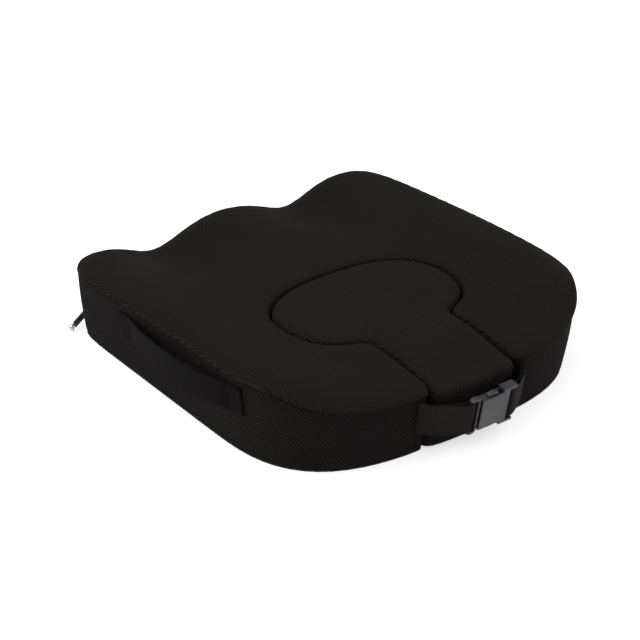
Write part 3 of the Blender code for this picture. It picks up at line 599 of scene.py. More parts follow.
def make_variation_group() -> Tree:
    """Cloud and lint: broad unevenness of the dye, and sparse pale specks of lint.

    Cloud is two noises of unlike size averaged, and Lint is fine noise cut at a high level.
    """
    g = NodeGroup("cloth_variation", {"Cloud Scale": 22.0, "Lint Scale": 900.0}, ("Cloud", "Lint", "Fuzz"))
    place = g.inn.outputs["Vector"]
    noise = "ShaderNodeTexNoise"
    cloud = g.node(noise, Vector=place, Scale=g.inn.outputs["Cloud Scale"], Detail=3.0, Roughness=0.6)
    lint = g.node(noise, Vector=place, Scale=g.inn.outputs["Lint Scale"], Detail=1.0, Roughness=0.5)
    fuzz = g.node(noise, Vector=place, Scale=2600.0, Detail=2.0, Roughness=0.7)
    specks = g.math("MULTIPLY", g.math("MAXIMUM", g.math("SUBTRACT", lint.outputs[0], 0.68), 0.0), 6.0)
    g.feed(g.out.inputs["Cloud"], cloud.outputs[0])
    g.feed(g.out.inputs["Lint"], specks)
    g.feed(g.out.inputs["Fuzz"], fuzz.outputs[0])
    return g.tree


def make_grain_group() -> Tree:
    """Moulded grain and rubbed edges: a fine spark texture, and wear where the surface turns.

    Wear is the Pointiness of the surface above its middle value, broken up by noise.
    """
    g = NodeGroup("mould_grain", {"Grain Scale": 2200.0}, ("Grain", "Wear", "Smear"))
    place = g.inn.outputs["Vector"]
    noise = "ShaderNodeTexNoise"
    grain = g.node(noise, Vector=place, Scale=g.inn.outputs["Grain Scale"], Detail=2.0, Roughness=0.5)
    smear = g.node(noise, Vector=place, Scale=120.0, Detail=3.0, Roughness=0.6)
    shape = g.tree.nodes.new("ShaderNodeNewGeometry")
    above = g.math("SUBTRACT", shape.outputs["Pointiness"], 0.52)
    raised = g.math("MULTIPLY", g.math("MAXIMUM", above, 0.0), 9.0)
    g.feed(g.out.inputs["Grain"], grain.outputs[0])
    g.feed(g.out.inputs["Wear"], g.math("MINIMUM", g.math("MULTIPLY", raised, smear.outputs[0]), 1.0))
    g.feed(g.out.inputs["Smear"], smear.outputs[0])
    return g.tree


class NodeLibrary:
    """Every shared node group, built once."""

    def __init__(self) -> None:
        """Build the groups."""
        self.ribs = make_rib_group()
        self.mesh = make_mesh_group()
        self.weave = make_weave_group()
        self.variation = make_variation_group()
        self.grain = make_grain_group()


class MaterialMaker:
    """One node material with helpers that place groups and join them to its shader."""

    def __init__(self, name: str, colour: Colour, roughness: float, metallic: float, coords: Coords) -> None:
        """Make the material, its shader settings and its coordinates."""
        self.material = bpy.data.materials.new(name)
        self.material.use_nodes = True
        self.tree = self.material.node_tree
        self.shader = self.tree.nodes["Principled BSDF"]
        self.shader.inputs["Base Color"].default_value = (*colour, 1)
        self.shader.inputs["Roughness"].default_value = roughness
        self.shader.inputs["Metallic"].default_value = metallic
        self.object = self.tree.nodes.new("ShaderNodeTexCoord").outputs["Object"]
        self.pattern = self.object
        if coords is Coords.CLOTH:
            cloth = self.tree.nodes.new("ShaderNodeUVMap")
            cloth.uv_map = UV_NAME
            self.pattern = cloth.outputs[0]

    def group(self, tree: Tree, vector: Socket, **values: float) -> bpy.types.Node:
        """Place a node group, feed its Vector and set its numbers."""
        node = self.tree.nodes.new("ShaderNodeGroup")
        node.node_tree = tree
        self.tree.links.new(vector, node.inputs["Vector"])
        for name, value in values.items():
            node.inputs[name.replace("_", " ")].default_value = value
        return node

    def mix(self, factor: Socket, first: object, second: object) -> Socket:
        """Mix two colours, given as sockets or plain colours, by a mask."""
        node = self.tree.nodes.new("ShaderNodeMix")
        node.data_type = "RGBA"
        self.tree.links.new(factor, node.inputs[0])
        for slot, value in ((node.inputs[6], first), (node.inputs[7], second)):
            if isinstance(value, Socket):
                self.tree.links.new(value, slot)
            else:
                slot.default_value = (*value, 1)
        return node.outputs[2]

    def bump(self, height: Socket, distance: float, strength: float, under: Socket | None = None) -> Socket:
        """A Bump node over an optional normal beneath it."""
        node = self.tree.nodes.new("ShaderNodeBump")
        node.inputs["Distance"].default_value = distance
        node.inputs["Strength"].default_value = strength
        self.tree.links.new(height, node.inputs["Height"])
        if under is not None:
            self.tree.links.new(under, node.inputs["Normal"])
        return node.outputs[0]

    def range(self, value: Socket, low: float, high: float) -> Socket:
        """Map a 0 to 1 value to a range."""
        node = self.tree.nodes.new("ShaderNodeMapRange")
        self.tree.links.new(value, node.inputs["Value"])
        node.inputs["To Min"].default_value = low
        node.inputs["To Max"].default_value = high
        return node.outputs[0]

    def into(self, socket: str, value: Socket) -> None:
        """Join a socket to one of the shader's inputs."""
        self.tree.links.new(value, self.shader.inputs[socket])


# ---------------------------------------------------------------- finishes


@dataclass(frozen=True)
class ClothFinish:
    """A dyed cloth: base colour, gap colour of painted shade, pattern pitch, bump depth and how much lint
    shows.
    """

    name: str
    thread: Colour
    gap: Colour
    pattern: Pattern
    coords: Coords
    pitch: float
    depth: float
    roughness: float = 0.92
    sheen: float = 0.01
    specular: float = 0.05
    lint: float = 0.25

    def build(self, groups: NodeLibrary) -> Material:
        """Build the cloth's material.

        Args:
            groups: the shared node groups.

        Returns:
            The material.
        """
        m = MaterialMaker(self.name, self.thread, self.roughness, 0.0, self.coords)
        if self.pattern is Pattern.RIBS:
            pitches = {"Rib_Pitch": self.pitch, "Stitch_Pitch": self.pitch * 0.55}
            pattern = m.group(groups.ribs, m.pattern, **pitches, Slant=0.25)
            gaps = pattern.outputs["Gaps"]
        elif self.pattern is Pattern.MESH:
            pattern = m.group(groups.mesh, m.pattern, Pitch=self.pitch)
            gaps = pattern.outputs["Eyelets"]
        else:
            pitches = {"Warp_Pitch": self.pitch, "Weft_Pitch": self.pitch * 0.8}
            pattern = m.group(groups.weave, m.pattern, **pitches)
            gaps = pattern.outputs["Gaps"]
        variation = m.group(groups.variation, m.object)
        darker = tuple(c * 0.82 for c in self.thread)
        lighter = tuple(c * 1.22 for c in self.thread)
        dyed = m.mix(variation.outputs["Cloud"], darker, lighter)
        # The gap colour is painted shade: it darkens the low gaps between threads and the mesh's eyelets,
        # which are real openings.
        with_gap_shade = m.mix(gaps, dyed, self.gap)
        lint_amount = m.range(variation.outputs["Lint"], 0.0, self.lint)
        m.into("Base Color", m.mix(lint_amount, with_gap_shade, (0.11, 0.105, 0.10)))
        rough = (self.roughness - 0.08, min(self.roughness + 0.06, 1.0))
        m.into("Roughness", m.range(variation.outputs["Fuzz"], *rough))
        fuzz = m.bump(variation.outputs["Fuzz"], 0.00015, 0.4)
        m.into("Normal", m.bump(pattern.outputs["Height"], self.depth, 0.9, fuzz))
        m.shader.inputs["Sheen Weight"].default_value = self.sheen
        m.shader.inputs["Sheen Roughness"].default_value = 0.5
        m.shader.inputs["Specular IOR Level"].default_value = self.specular
        return m.material


@dataclass(frozen=True)
class MouldedFinish:
    """A moulded plastic or rubber with spark grain and rubbed edges."""

    name: str
    colour: Colour
    worn: Colour
    roughness: float
    grain: float = 0.00006

    def build(self, groups: NodeLibrary) -> Material:
        """Build the moulded material."""
        m = MaterialMaker(self.name, self.colour, self.roughness, 0.0, Coords.OBJECT)
        grain = m.group(groups.grain, m.object)
        m.into("Base Color", m.mix(grain.outputs["Wear"], self.colour, self.worn))
        m.into("Roughness", m.range(grain.outputs["Smear"], self.roughness - 0.07, self.roughness + 0.09))
        m.into("Normal", m.bump(grain.outputs["Grain"], self.grain, 0.5))
        return m.material


@dataclass(frozen=True)
class MetalFinish:
    """A plated metal with fine polishing marks."""

    name: str
    colour: Colour
    roughness: float

    def build(self, groups: NodeLibrary) -> Material:
        """Build the metal material."""
        m = MaterialMaker(self.name, self.colour, self.roughness, 1.0, Coords.OBJECT)
        grain = m.group(groups.grain, m.object, Grain_Scale=3600.0)
        darker = tuple(c * 0.8 for c in self.colour)
        m.into("Base Color", m.mix(grain.outputs["Smear"], darker, self.colour))
        m.into("Roughness", m.range(grain.outputs["Smear"], self.roughness - 0.06, self.roughness + 0.14))
        m.into("Normal", m.bump(grain.outputs["Grain"], 0.00003, 0.4))
        return m.material


@dataclass(frozen=True)
class GripFinish:
    """A base cloth with raised rubber dots on a square pitch."""

    name: str
    cloth: Colour
    dot: Colour
    pitch: float = 0.006

    def build(self, groups: NodeLibrary) -> Material:
        """Build the base material: dots where the product of two sines is high."""
        m = MaterialMaker(self.name, self.cloth, 0.85, 0.0, Coords.OBJECT)
        variation = m.group(groups.variation, m.object)
        spots = NodeWriter(m.tree)
        x, y, _ = spots.split(m.object)
        product = spots.math("MULTIPLY", spots.wave(x, self.pitch), spots.wave(y, self.pitch))
        peak = spots.math("MAXIMUM", spots.math("SUBTRACT", product, 0.5), 0.0)
        dots = spots.math("MULTIPLY", spots.math("MINIMUM", peak, 0.1), 10.0)
        weave = m.group(groups.weave, m.object, Warp_Pitch=0.0011, Weft_Pitch=0.001)
        dyed = m.mix(variation.outputs["Cloud"], self.cloth, tuple(c * 1.3 for c in self.cloth))
        m.into("Base Color", m.mix(dots, dyed, self.dot))
        m.into("Roughness", m.range(dots, 0.9, 0.55))
        woven = m.bump(weave.outputs["Height"], 0.0003, 0.6)
        m.into("Normal", m.bump(dots, 0.0006, 0.8, woven))
        return m.material


class Finishes:
    """Every finish of the cushion, built from the shared node groups."""

    def __init__(self) -> None:
        """Build each material once."""
        groups = NodeLibrary()
        # Each cloth's second colour is painted shade for the gaps between its threads, near black in the
        # mesh's eyelets.
        self.knit = ClothFinish(
            "knit_top",
            (0.0160, 0.0122, 0.0118), (0.0030, 0.0024, 0.0024),
            Pattern.RIBS, Coords.OBJECT, 0.0030, 0.0007, lint=0.10,
        ).build(groups)
        self.mesh = ClothFinish(
            "air_mesh_wall",
            (0.0165, 0.0124, 0.0124), (0.0004, 0.0003, 0.0003),
            Pattern.MESH, Coords.CLOTH, 0.0047, 0.0019, lint=0.05,
        ).build(groups)
        self.webbing = ClothFinish(
            "webbing",
            (0.0175, 0.0138, 0.0134), (0.0035, 0.0030, 0.0030),
            Pattern.WEAVE, Coords.CLOTH, 0.0017, 0.0005, roughness=0.8, lint=0.08,
        ).build(groups)
        self.handle = ClothFinish(
            "handle_strip",
            (0.0046, 0.0034, 0.0037), (0.0010, 0.0008, 0.0008),
            Pattern.WEAVE, Coords.CLOTH, 0.0020, 0.0004, roughness=0.9, lint=0.04,
        ).build(groups)
        self.tape = ClothFinish(
            "zip_tape",
            (0.010, 0.009, 0.009), (0.003, 0.003, 0.003),
            Pattern.WEAVE, Coords.OBJECT, 0.0009, 0.0002, roughness=0.85, lint=0.05,
        ).build(groups)
        self.thread = ClothFinish(
            "sewing_thread",
            (0.022, 0.020, 0.020), (0.011, 0.010, 0.010),
            Pattern.WEAVE, Coords.OBJECT, 0.0006, 0.0001, roughness=0.6, lint=0.0,
        ).build(groups)
        self.base = GripFinish("grip_base", (0.013, 0.013, 0.014), (0.028, 0.028, 0.029)).build(groups)
        buckle = MouldedFinish("buckle_plastic", (0.0165, 0.0145, 0.0175), (0.06, 0.055, 0.062), 0.42)
        self.buckle = buckle.build(groups)
        self.coil = MouldedFinish("nylon_coil", (0.014, 0.014, 0.014), (0.03, 0.03, 0.03), 0.4).build(groups)
        rubber = MouldedFinish("pull_rubber", (0.013, 0.013, 0.014), (0.035, 0.035, 0.036), 0.55)
        self.rubber = rubber.build(groups)
        self.steel = MetalFinish("plated_steel", (0.66, 0.66, 0.68), 0.28).build(groups)


# ---------------------------------------------------------------- cushion


@dataclass
class CushionCover:
    """The main cushion: a crowned top panel and mesh walls round a keyhole cut-out."""

    plan: CushionPlan
    finishes: Finishes
    along_count: int = 561
    top_count: int = 74
    wall_count: int = 30
    edge_drop: float = 8.5 * MM
    edge_roll: float = 24 * MM
    cut_drop: float = 3.5 * MM
    cut_roll: float = 12 * MM
    seam_below: float = 2.0 * MM
    seam_depth: float = 1.3 * MM
    floor_z: float = 1.6 * MM
    wall_bulge: float = 1.2 * MM
    cut_bulge: float = 0.2 * MM
    wall_pucker: float = 0.3 * MM
    cut_pucker: float = 0.05 * MM
    wall_pucker_pitch: float = 21 * MM
    upper_seam_reach: float = 1.7 * MM
    top_pucker: float = 0.45 * MM
    top_pucker_pitch: float = 17 * MM
    unevenness: float = 0.35 * MM
    zip_low: float = 9.3 * MM
    zip_high: float = 17.7 * MM
    zip_start: float = -182 * MM
    zip_end: float = 173 * MM
    lines: dict[str, Array] = field(default_factory=dict)
    edges: dict[str, Array] = field(default_factory=dict)
    seam_z: dict[str, Array] = field(default_factory=dict)

    def prepare(self) -> None:
        """Split both outlines at the lobes into an outer line and a cut line, evenly spaced."""
        floor, top = self.plan.body_loops()
        normal = outward(top)
        n = self.plan.outer_count
        outer = np.arange(n)
        cut = np.concatenate(([n - 1], np.arange(n, len(top)), [0]))[::-1]
        for name, index in (("outer", outer), ("cut", cut)):
            pick = resample(top[index], self.along_count)
            for kind, line in (("top", top), ("floor", floor), ("normal", normal)):
                self.lines[f"{name}_{kind}"] = take(line[index], pick)
        self.edges = {"outer": top[outer], "cut": top[cut]}

    def height(self, points: Array) -> tuple[Array, Array]:
        """Height of the cover and distance to the nearest seam.

        The height is the seat less the larger of the two edge shoulders.

        Args:
            points: places in plan.

        Returns:
            The heights and the distances.
        """
        outer = distance_to(points, self.edges["outer"])
        cut = distance_to(points, self.edges["cut"])
        outer_drop = shoulder(outer, self.edge_drop, self.edge_roll)
        cut_drop = shoulder(cut, self.cut_drop, self.cut_roll)
        seat = self.plan.seat(points[..., 0], points[..., 1])
        return seat - np.maximum(outer_drop, cut_drop), np.minimum(outer, cut)

    def top_panel(self) -> Object:
        """The top panel, ruled between the outer line and the cut line.

        A point is outer + (cut - outer) * t in plan at the cover's height. Within two
        millimetres of a seam it rolls down and in, and puckers ride beside the seams.
        """
        t = tight_spacing(self.top_count, 0.82)[None, :, None]
        outer, cut = self.lines["outer_top"][:, None], self.lines["cut_top"][:, None]
        plan = outer + (cut - outer) * t
        z, near = self.height(plan)
        run = run_along(self.lines["outer_top"])
        fade = np.exp(-near / (9 * MM)) * smooth(0.0, 4 * MM, near)
        z = z + self.top_pucker * puckers(run, self.top_pucker_pitch, 0.7)[:, None] * fade
        uneven = np.sin(plan[..., 0] * 61 + 1.3) * np.sin(plan[..., 1] * 47 + 0.4)
        z = z + self.unevenness * uneven * smooth(0, 30 * MM, near)
        rim = np.exp(-((near / RIM_REACH) ** 2))
        z = z - self.seam_below * rim
        from_outer, from_cut = (self.lines[f"{line}_normal"][:, None] for line in ("outer", "cut"))
        inward = -from_outer * (t < 0.5) - from_cut * (t >= 0.5)
        plan = plan + inward * (self.seam_depth * rim)[..., None]
        points = np.concatenate((plan + OFFSET, z[..., None]), axis=2)
        faces = grid_faces(self.along_count, self.top_count)
        obj = surface("seat_top", points.reshape(-1, 3), faces)
        self.seam_z = {"outer": z[:, 0], "cut": z[:, -1]}
        return obj

    def wall(self, name: str, line: str, count: int, seed: float) -> Object:
        """A wall from the floor to its seam.

        At each height it lies between the floor outline and the top outline, pushed out by a
        bulge that is a half sine over its height and pulled in at both seams.

        Args:
            name: the piece's name.
            line: which outline it follows.
            count: points up the wall.
            seed: shifts the puckers.

        Returns:
            The wall object.
        """
        top, floor, normal = (self.lines[f"{line}_{kind}"] for kind in ("top", "floor", "normal"))
        high = self.seam_z[line][:, None]
        z = self.wall_heights(line, count, high)
        v = (z - self.floor_z) / (high - self.floor_z)
        plan = floor[:, None] + (top - floor)[:, None] * (z / self.plan.loft_height)[..., None]
        up, down = high - z, z - self.floor_z
        pull = self.seam_depth * seam_pull(up, down, self.upper_seam_reach)
        run = run_along(top)
        by_seam = np.exp(-up / (10 * MM)) + 0.7 * np.exp(-down / (8 * MM))
        ripple = puckers(run, self.wall_pucker_pitch, seed)[:, None] * by_seam
        outer_wall = line == "outer"
        bulge = self.wall_bulge if outer_wall else self.cut_bulge
        pucker = self.wall_pucker if outer_wall else self.cut_pucker
        out = bulge * np.sin(math.pi * v) + pucker * ripple - pull
        plan = plan + normal[:, None] * out[..., None]
        points = np.concatenate((plan + OFFSET, z[..., None]), axis=2)
        uv = np.stack(np.broadcast_arrays(run[:, None], z), axis=2)
        faces = grid_faces(self.along_count, count)
        if outer_wall:
            middle = points.reshape(-1, 3)[faces].mean(1)
            x = middle[:, 0] - OFFSET[0]
            in_window = (middle[:, 2] > self.zip_low) & (middle[:, 2] < self.zip_high) & (middle[:, 1] > 0)
            faces = faces[~(in_window & (x > self.zip_start) & (x < self.zip_end))]
        return surface(name, points.reshape(-1, 3), faces, uv.reshape(-1, 2))

    def wall_heights(self, line: str, count: int, high: Array) -> Array:
        """Heights of a wall's rows, column by column.

        The cut-out's rows are spread between floor and seam. The outer wall's lowest rows are
        level, and two of them bound the zip's opening.

        Args:
            line: which outline the wall follows.
            count: rows up the wall.
            high: the seam's height at each column.

        Returns:
            Heights, columns by rows.
        """
        if line == "cut":
            return self.floor_z + (high - self.floor_z) * tight_spacing(count, 0.6)[None, :]
        split = (self.zip_low + self.zip_high) / 2
        level = np.array((0, 0.7, 2.0, 4.0, 6.0)) * MM + self.floor_z
        level = np.concatenate((level, (self.zip_low, split, self.zip_high, self.zip_high + 2 * MM)))
        share = 1 - (1 - np.linspace(0, 1, count - len(level) + 1)[1:]) ** 1.7
        upper = level[-1] + (high - level[-1]) * share[None, :]
        return np.concatenate((np.broadcast_to(level, (len(high), len(level))), upper), axis=1)

    def build(self) -> None:
        self.prepare()
        top = self.top_panel()
        outer = self.wall("side_wall", "outer", self.wall_count, 1.9)
        cut = self.wall("cutout_wall", "cut", self.wall_count - 8, 4.4)
        for obj, centre_out in ((top, Vector((0, 0, 1))), (outer, None), (cut, None)):
            face_outwards(obj, centre_out, self.plan)
            thicken(obj)
        stands_for = ("cover_top_panel", "main_foam")
        piece = finish_piece(top, Body.CUSHION, self.finishes.knit, stands_for)
        finish_piece(outer, Body.CUSHION, self.finishes.mesh, ("cover_side_boxing",))
        finish_piece(cut, Body.CUSHION, self.finishes.mesh, ("cover_cutout_lining",))


def thicken(obj: Object, thickness: float = 1.0 * MM) -> None:
    """Give a cover panel its cloth's thickness inwards."""
    modifier = obj.modifiers.new("cloth", "SOLIDIFY")
    modifier.thickness = thickness
    modifier.offset = -1


def face_outwards(obj: Object, direction: Vector | None, plan: CushionPlan) -> None:
    """Turn an open panel's faces to the outside.

    Args:
        obj: the panel.
        direction: the side that its faces have to look to, or None for a wall.
        plan: gives the middle of the solid beside a wall.
    """
    mesh = obj.data
    normals = np.empty(len(mesh.polygons) * 3)
    centres = np.empty(len(mesh.polygons) * 3)
    mesh.polygons.foreach_get("normal", normals)
    mesh.polygons.foreach_get("center", centres)
    normals, centres = normals.reshape(-1, 3), centres.reshape(-1, 3)
    if direction is not None:
        facing = (normals @ np.array(direction)).sum()
    elif obj.name == "cutout_wall":
        head = np.array((OFFSET[0], OFFSET[1] + plan.head_y))
        facing = (normals[:, :2] * (head - centres[:, :2])).sum()
    else:
        facing = (normals[:, :2] * (centres[:, :2] - OFFSET)).sum()
    if facing < 0:
        mesh.flip_normals()


@dataclass
class Insert:
    """The lift-out insert: a knit top and a mesh wall on a mushroom outline."""

    plan: CushionPlan
    finishes: Finishes
    along_count: int = 480
    top_count: int = 44
    wall_count: int = 24
    drop: float = 3.5 * MM
    roll: float = 12 * MM
    rear_fall: float = 5 * MM
    pucker: float = 0.4 * MM
    pucker_pitch: float = 15 * MM
    rear_bulge: float = 1.6 * MM
    rear_pucker: float = 0.25 * MM
    seam_depth: float = 1.1 * MM
    seam_below: float = 2.0 * MM
    floor_z: float = 1.6 * MM

    def spine(self, loop: Array) -> Array:
        """The line that the top's rings shrink to: the outline's own y, kept off both ends."""
        low = loop[:, 1].min() + self.plan.neck_half_width * 0.9
        high = self.plan.head_y + 20 * MM
        return np.column_stack((np.zeros(len(loop)), np.clip(loop[:, 1], low, high)))

    def build(self) -> None:
        """Make the insert as a top that shrinks to a spine and a wall to the floor.

        The top's point is edge + (spine - edge) * t at the seat height less the edge shoulder
        and the rear fall. The wall stands straight under the edge, but its rear leans in by
        lean times (seam height - z) / loft height.
        """
        loop = np.roll(self.plan.insert_loop(), 21, axis=0)
        middle = (loop[:1] + loop[-1:]) / 2
        closed = np.concatenate((middle, loop, middle))
        edge = take(closed, resample(closed, self.along_count + 1))[:-1]
        normal = outward(edge)
        if ((edge + normal * MM) ** 2).sum() < (edge**2).sum():
            normal = -normal
        t = (np.linspace(0, 1, self.top_count) ** 1.9)[None, :, None]
        plan = edge[:, None] + (self.spine(edge) - edge)[:, None] * t
        near = distance_to(plan, closed)
        fall = self.rear_fall * smooth(170 * MM, 235 * MM, -plan[..., 1])
        z = self.plan.seat(plan[..., 0], plan[..., 1]) - fall - shoulder(near, self.drop, self.roll)
        run = run_along(edge)
        ripple = puckers(run, self.pucker_pitch, 2.6)[:, None]
        z = z + self.pucker * ripple * np.exp(-near / (8 * MM)) * smooth(0.0, 4 * MM, near)
        rim = np.exp(-((near / RIM_REACH) ** 2))
        z = z - self.seam_below * rim
        shifted = plan - normal[:, None] * (self.seam_depth * rim)[..., None]
        points = np.concatenate((shifted + OFFSET, z[..., None]), axis=2)
        faces = grid_faces(self.along_count, self.top_count, wrap_rows=True)
        top = surface("insert_top", points.reshape(-1, 3), faces)
        v = tight_spacing(self.wall_count, 0.6)[None, :]
        high = z[:, :1]
        wall_z = self.floor_z + (high - self.floor_z) * v
        up, down = (1 - v) * (high - self.floor_z), v * (high - self.floor_z)
        pull = self.seam_depth * seam_pull(up, down, RIM_REACH)
        p = self.plan
        rear_edge = p.rear_depth - p.widest_y
        rear = smooth(0.0, 6 * MM, -rear_edge - edge[:, 1])[:, None]
        leaning = smooth(rear_edge + p.proud - p.insert_lean_reach, rear_edge + p.proud, -edge[:, 1])[:, None]
        lean_in = p.insert_lean * leaning * (p.insert_seam_height - wall_z) / p.loft_height
        out = rear * (self.rear_bulge * np.sin(math.pi * v) + self.rear_pucker * ripple) - pull
        wall_plan = edge[:, None] + normal[:, None] * out[..., None]
        wall_plan[..., 1] += lean_in
        wall_points = np.concatenate((wall_plan + OFFSET, wall_z[..., None]), axis=2)
        uv = np.stack(np.broadcast_arrays(run[:, None], wall_z), axis=2)
        faces = grid_faces(self.along_count, self.wall_count, wrap_rows=True)
        wall = surface("insert_wall", wall_points.reshape(-1, 3), faces, uv.reshape(-1, 2))
        for obj, direction in ((top, Vector((0, 0, 1))), (wall, None)):
            face_outwards(obj, direction, self.plan)
            thicken(obj)
        stands_for = ("insert_top_panel", "insert_foam")
        piece = finish_piece(top, Body.INSERT, self.finishes.knit, stands_for)
        finish_piece(wall, Body.INSERT, self.finishes.mesh, ("insert_boxing",))


# ---------------------------------------------------------------- handle and straps


def stitch_line(start: Array, end: Array, normal: Array) -> tuple[Array, Array]:
    """Points and faces of a row of short thread stitches.

    Each stitch is a six-sided tube with narrowed ends: a ring of radius r * sqrt(1 - s^2) at
    five places s along it, sunk at its ends and raised in its middle.

    Args:
        start: where the row begins.
        end: where the row ends.
        normal: the cloth's outward direction.

    Returns:
        The row's points and quads.
    """
    length = float(np.linalg.norm(end - start))
    along = (end - start) / length
    side = np.cross(normal, along)
    count = max(int(length / STITCH_PITCH), 1)
    s = np.linspace(-0.98, 0.98, 5)
    turn = np.arange(6) * math.pi / 3
    middle = start + along * ((np.arange(count) + 0.5) * length / count)[:, None]
    half = 0.38 * length / count
    thick = THREAD_RADIUS * np.sqrt(1 - s**2)
    ring = side * np.cos(turn)[:, None] + normal * np.sin(turn)[:, None]
    lift = normal * (THREAD_RADIUS * 0.7 * (1 - s**2))[:, None]
    one = (along * (s * half)[:, None] + lift)[:, None] + ring[None] * thick[:, None, None]
    points = (middle[:, None, None] + one[None]).reshape(-1, 3)
    faces = grid_faces(5, 6, wrap_cols=True)
    caps = np.array(((0, 5, 4, 3), (0, 3, 2, 1), (24, 25, 26, 27), (24, 27, 28, 29)))
    every = np.concatenate((faces, caps))
    return points, (every[None] + (np.arange(count) * 30)[:, None, None]).reshape(-1, 4)


def stitched(name: str, rows: list[tuple[Array, Array, Array]]) -> Object:
    """One object of several rows of stitches, each given as start, end and normal."""
    made = [stitch_line(*row) for row in rows]
    counts = np.concatenate(([0], np.cumsum([len(p) for p, _ in made])[:-1]))
    points = np.concatenate([p for p, _ in made])
    faces = np.concatenate([f + shift for (_, f), shift in zip(made, counts)])
    return surface(name, points, faces, merge=False)


@dataclass
class Handle:
    """The carrying handle: a sewn strip on the left wall, in two halves that lift at the middle."""

    plan: CushionPlan
    finishes: Finishes
    front_y: float = 97 * MM
    rear_y: float = -125 * MM
    front_z: float = 61 * MM
    rear_z: float = 68 * MM
    width: float = 34 * MM
    thickness: float = 2.4 * MM
    sewn: float = 20 * MM
    bow: float = 11 * MM
    stand: float = 1.7 * MM

    def path(self, y: Array) -> Array:
        """The strip's middle: beside the wall's outline, bowed out by a half sine between seams."""
        p = self.plan
        along = (y - self.rear_y) / (self.front_y - self.rear_y)
        z = self.rear_z + (self.front_z - self.rear_z) * along
        lean = p.lean * (1 - z / p.loft_height)
        depth = np.where(y >= p.widest_y, p.front_depth, p.rear_depth) - lean
        n = np.where(y >= p.widest_y, p.front_squareness, p.rear_squareness)
        wall = (p.width / 2 - lean) * (1 - np.abs((y - p.widest_y) / depth) ** n) ** (1 / n)
        seams = (self.rear_y + self.sewn, self.front_y - self.sewn)
        free = np.clip((y - seams[0]) / (seams[1] - seams[0]), 0, 1)
        bow = self.bow * np.sin(math.pi * free) ** 0.8
        return np.column_stack((-(wall + self.stand + bow) + OFFSET[0], y + OFFSET[1], z))

    def build(self) -> None:
        """Make both halves and the stitches that hold their ends."""
        across = np.array((-self.plan.lean / self.plan.loft_height, 0, 1))
        profile = rounded_profile(self.width, self.thickness)
        middle = (self.rear_y + self.front_y) / 2
        halves = (
            ("handle_rear", self.rear_y, middle, ("handle_rear_end",)),
            ("handle_front", middle, self.front_y, ("handle_front_end", "handle_grip")),
        )
        for name, low, high, nodes in halves:
            obj = sweep(name, self.path(np.linspace(low, high, 90)), across, profile)
            obj.data.materials.append(self.finishes.handle)
            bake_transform(obj)
            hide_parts(*nodes)
            LOG.info("%s: %d faces", name, len(obj.data.polygons))
        rows = []
        half, lift = self.width / 2 - 3 * MM, self.thickness / 2
        up = across / np.linalg.norm(across)
        for y in (self.rear_y + 4 * MM, self.rear_y + 15 * MM, self.front_y - 15 * MM, self.front_y - 4 * MM):
            near = self.path(np.array((y - MM, y + MM)))
            along = (near[1] - near[0]) / np.linalg.norm(near[1] - near[0])
            out = np.cross(up, along)
            out = out if out[0] < 0 else -out
            place = near.mean(0) + out * lift
            rows.append((place - up * half, place + up * half, out))
        finish_piece(stitched("handle_stitches", rows), Body.CUSHION, self.finishes.thread)


